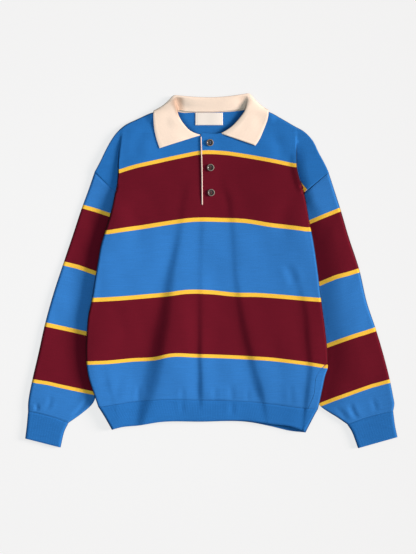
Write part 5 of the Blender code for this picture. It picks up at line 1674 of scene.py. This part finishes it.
front, front_outline = make_front(striped)
back, back_outline = make_back(striped)
hem_rib = make_hem_rib(rib_knit)
sleeve_left = make_sleeve("sleeve_left", LEFT_SLEEVE, LEFT_LINES, striped)
sleeve_right = make_sleeve("sleeve_right", RIGHT_SLEEVE, RIGHT_LINES, striped)
cuff_left = make_cuff("cuff_left", LEFT_CUFF, rib_knit)
cuff_right = make_cuff("cuff_right", RIGHT_CUFF, rib_knit)
collar, (collar_long, collar_wide, collar_area) = make_collar(cream_knit)
edging = make_edging(edging_knit)
label = make_label(label_cloth)
buttons = [make_button(*place, button_horn, button_rim_highlight, thread)
           for place, thread in zip(BUTTONS, threads)]

# ---- surface, light and camera ----------------------------------------------
bpy.ops.mesh.primitive_plane_add(size=30.0, location=(0.0, 0.0, 0.0))
floor = bpy.context.active_object
floor.name = "pale_surface"
floor_nodes = Nodes("pale surface", 0.95, 0.0)
floor_nodes.shader.inputs["Base Color"].default_value = (FLOOR_GREY, FLOOR_GREY, FLOOR_GREY, 1.0)
floor_nodes.shader.inputs["Emission Color"].default_value = (1.0, 1.0, 1.0, 1.0)
floor_nodes.shader.inputs["Emission Strength"].default_value = FLOOR_GLOW
floor.data.materials.append(floor_nodes.material)

scene = bpy.context.scene
scene.view_settings.view_transform = "Standard"
world = bpy.data.worlds.new("even light")
scene.world = world
world.use_nodes = True
world.node_tree.nodes["Background"].inputs["Color"].default_value = (*SHADE_TINT, 1.0)
world.node_tree.nodes["Background"].inputs["Strength"].default_value = SKY


def add_lamp(name, kind, place, towards, strength, tint):
    """A lamp at a place, pointing towards another one."""
    lamp = bpy.data.lights.new(name, kind)
    lamp.energy = strength
    lamp.color = tint
    thing = bpy.data.objects.new(name, lamp)
    thing.location = place
    thing.rotation_euler = (Vector(place) - Vector(towards)).to_track_quat("Z", "Y").to_euler()
    scene.collection.objects.link(thing)
    return lamp


tilt = math.radians(KEY_HEIGHT)
turn = math.radians(KEY_TURN)
towards_key = (math.cos(tilt) * math.cos(turn), math.cos(tilt) * math.sin(turn), math.sin(tilt))
key_place = [KEY_AWAY * part for part in towards_key]
key = add_lamp("low lamp", "SUN", key_place, (0.0, 0.0, 0.0), KEY * math.pi / math.sin(tilt), KEY_TINT)
key.angle = math.radians(KEY_SIZE)
fill_power = FILL * math.pi * math.pi * FILL_AT[2] ** 2
fill = add_lamp("wide lamp", "AREA", FILL_AT, (*FILL_AT[:2], 0.0), fill_power, SHADE_TINT)
fill.shape = "DISK"
fill.size = FILL_SIZE

camera = bpy.data.cameras.new("straight down")
camera.lens = CAMERA_LENS
camera.sensor_width = 36.0
camera_object = bpy.data.objects.new("straight down", camera)
camera_object.location = CAMERA_AT
scene.collection.objects.link(camera_object)
scene.camera = camera_object
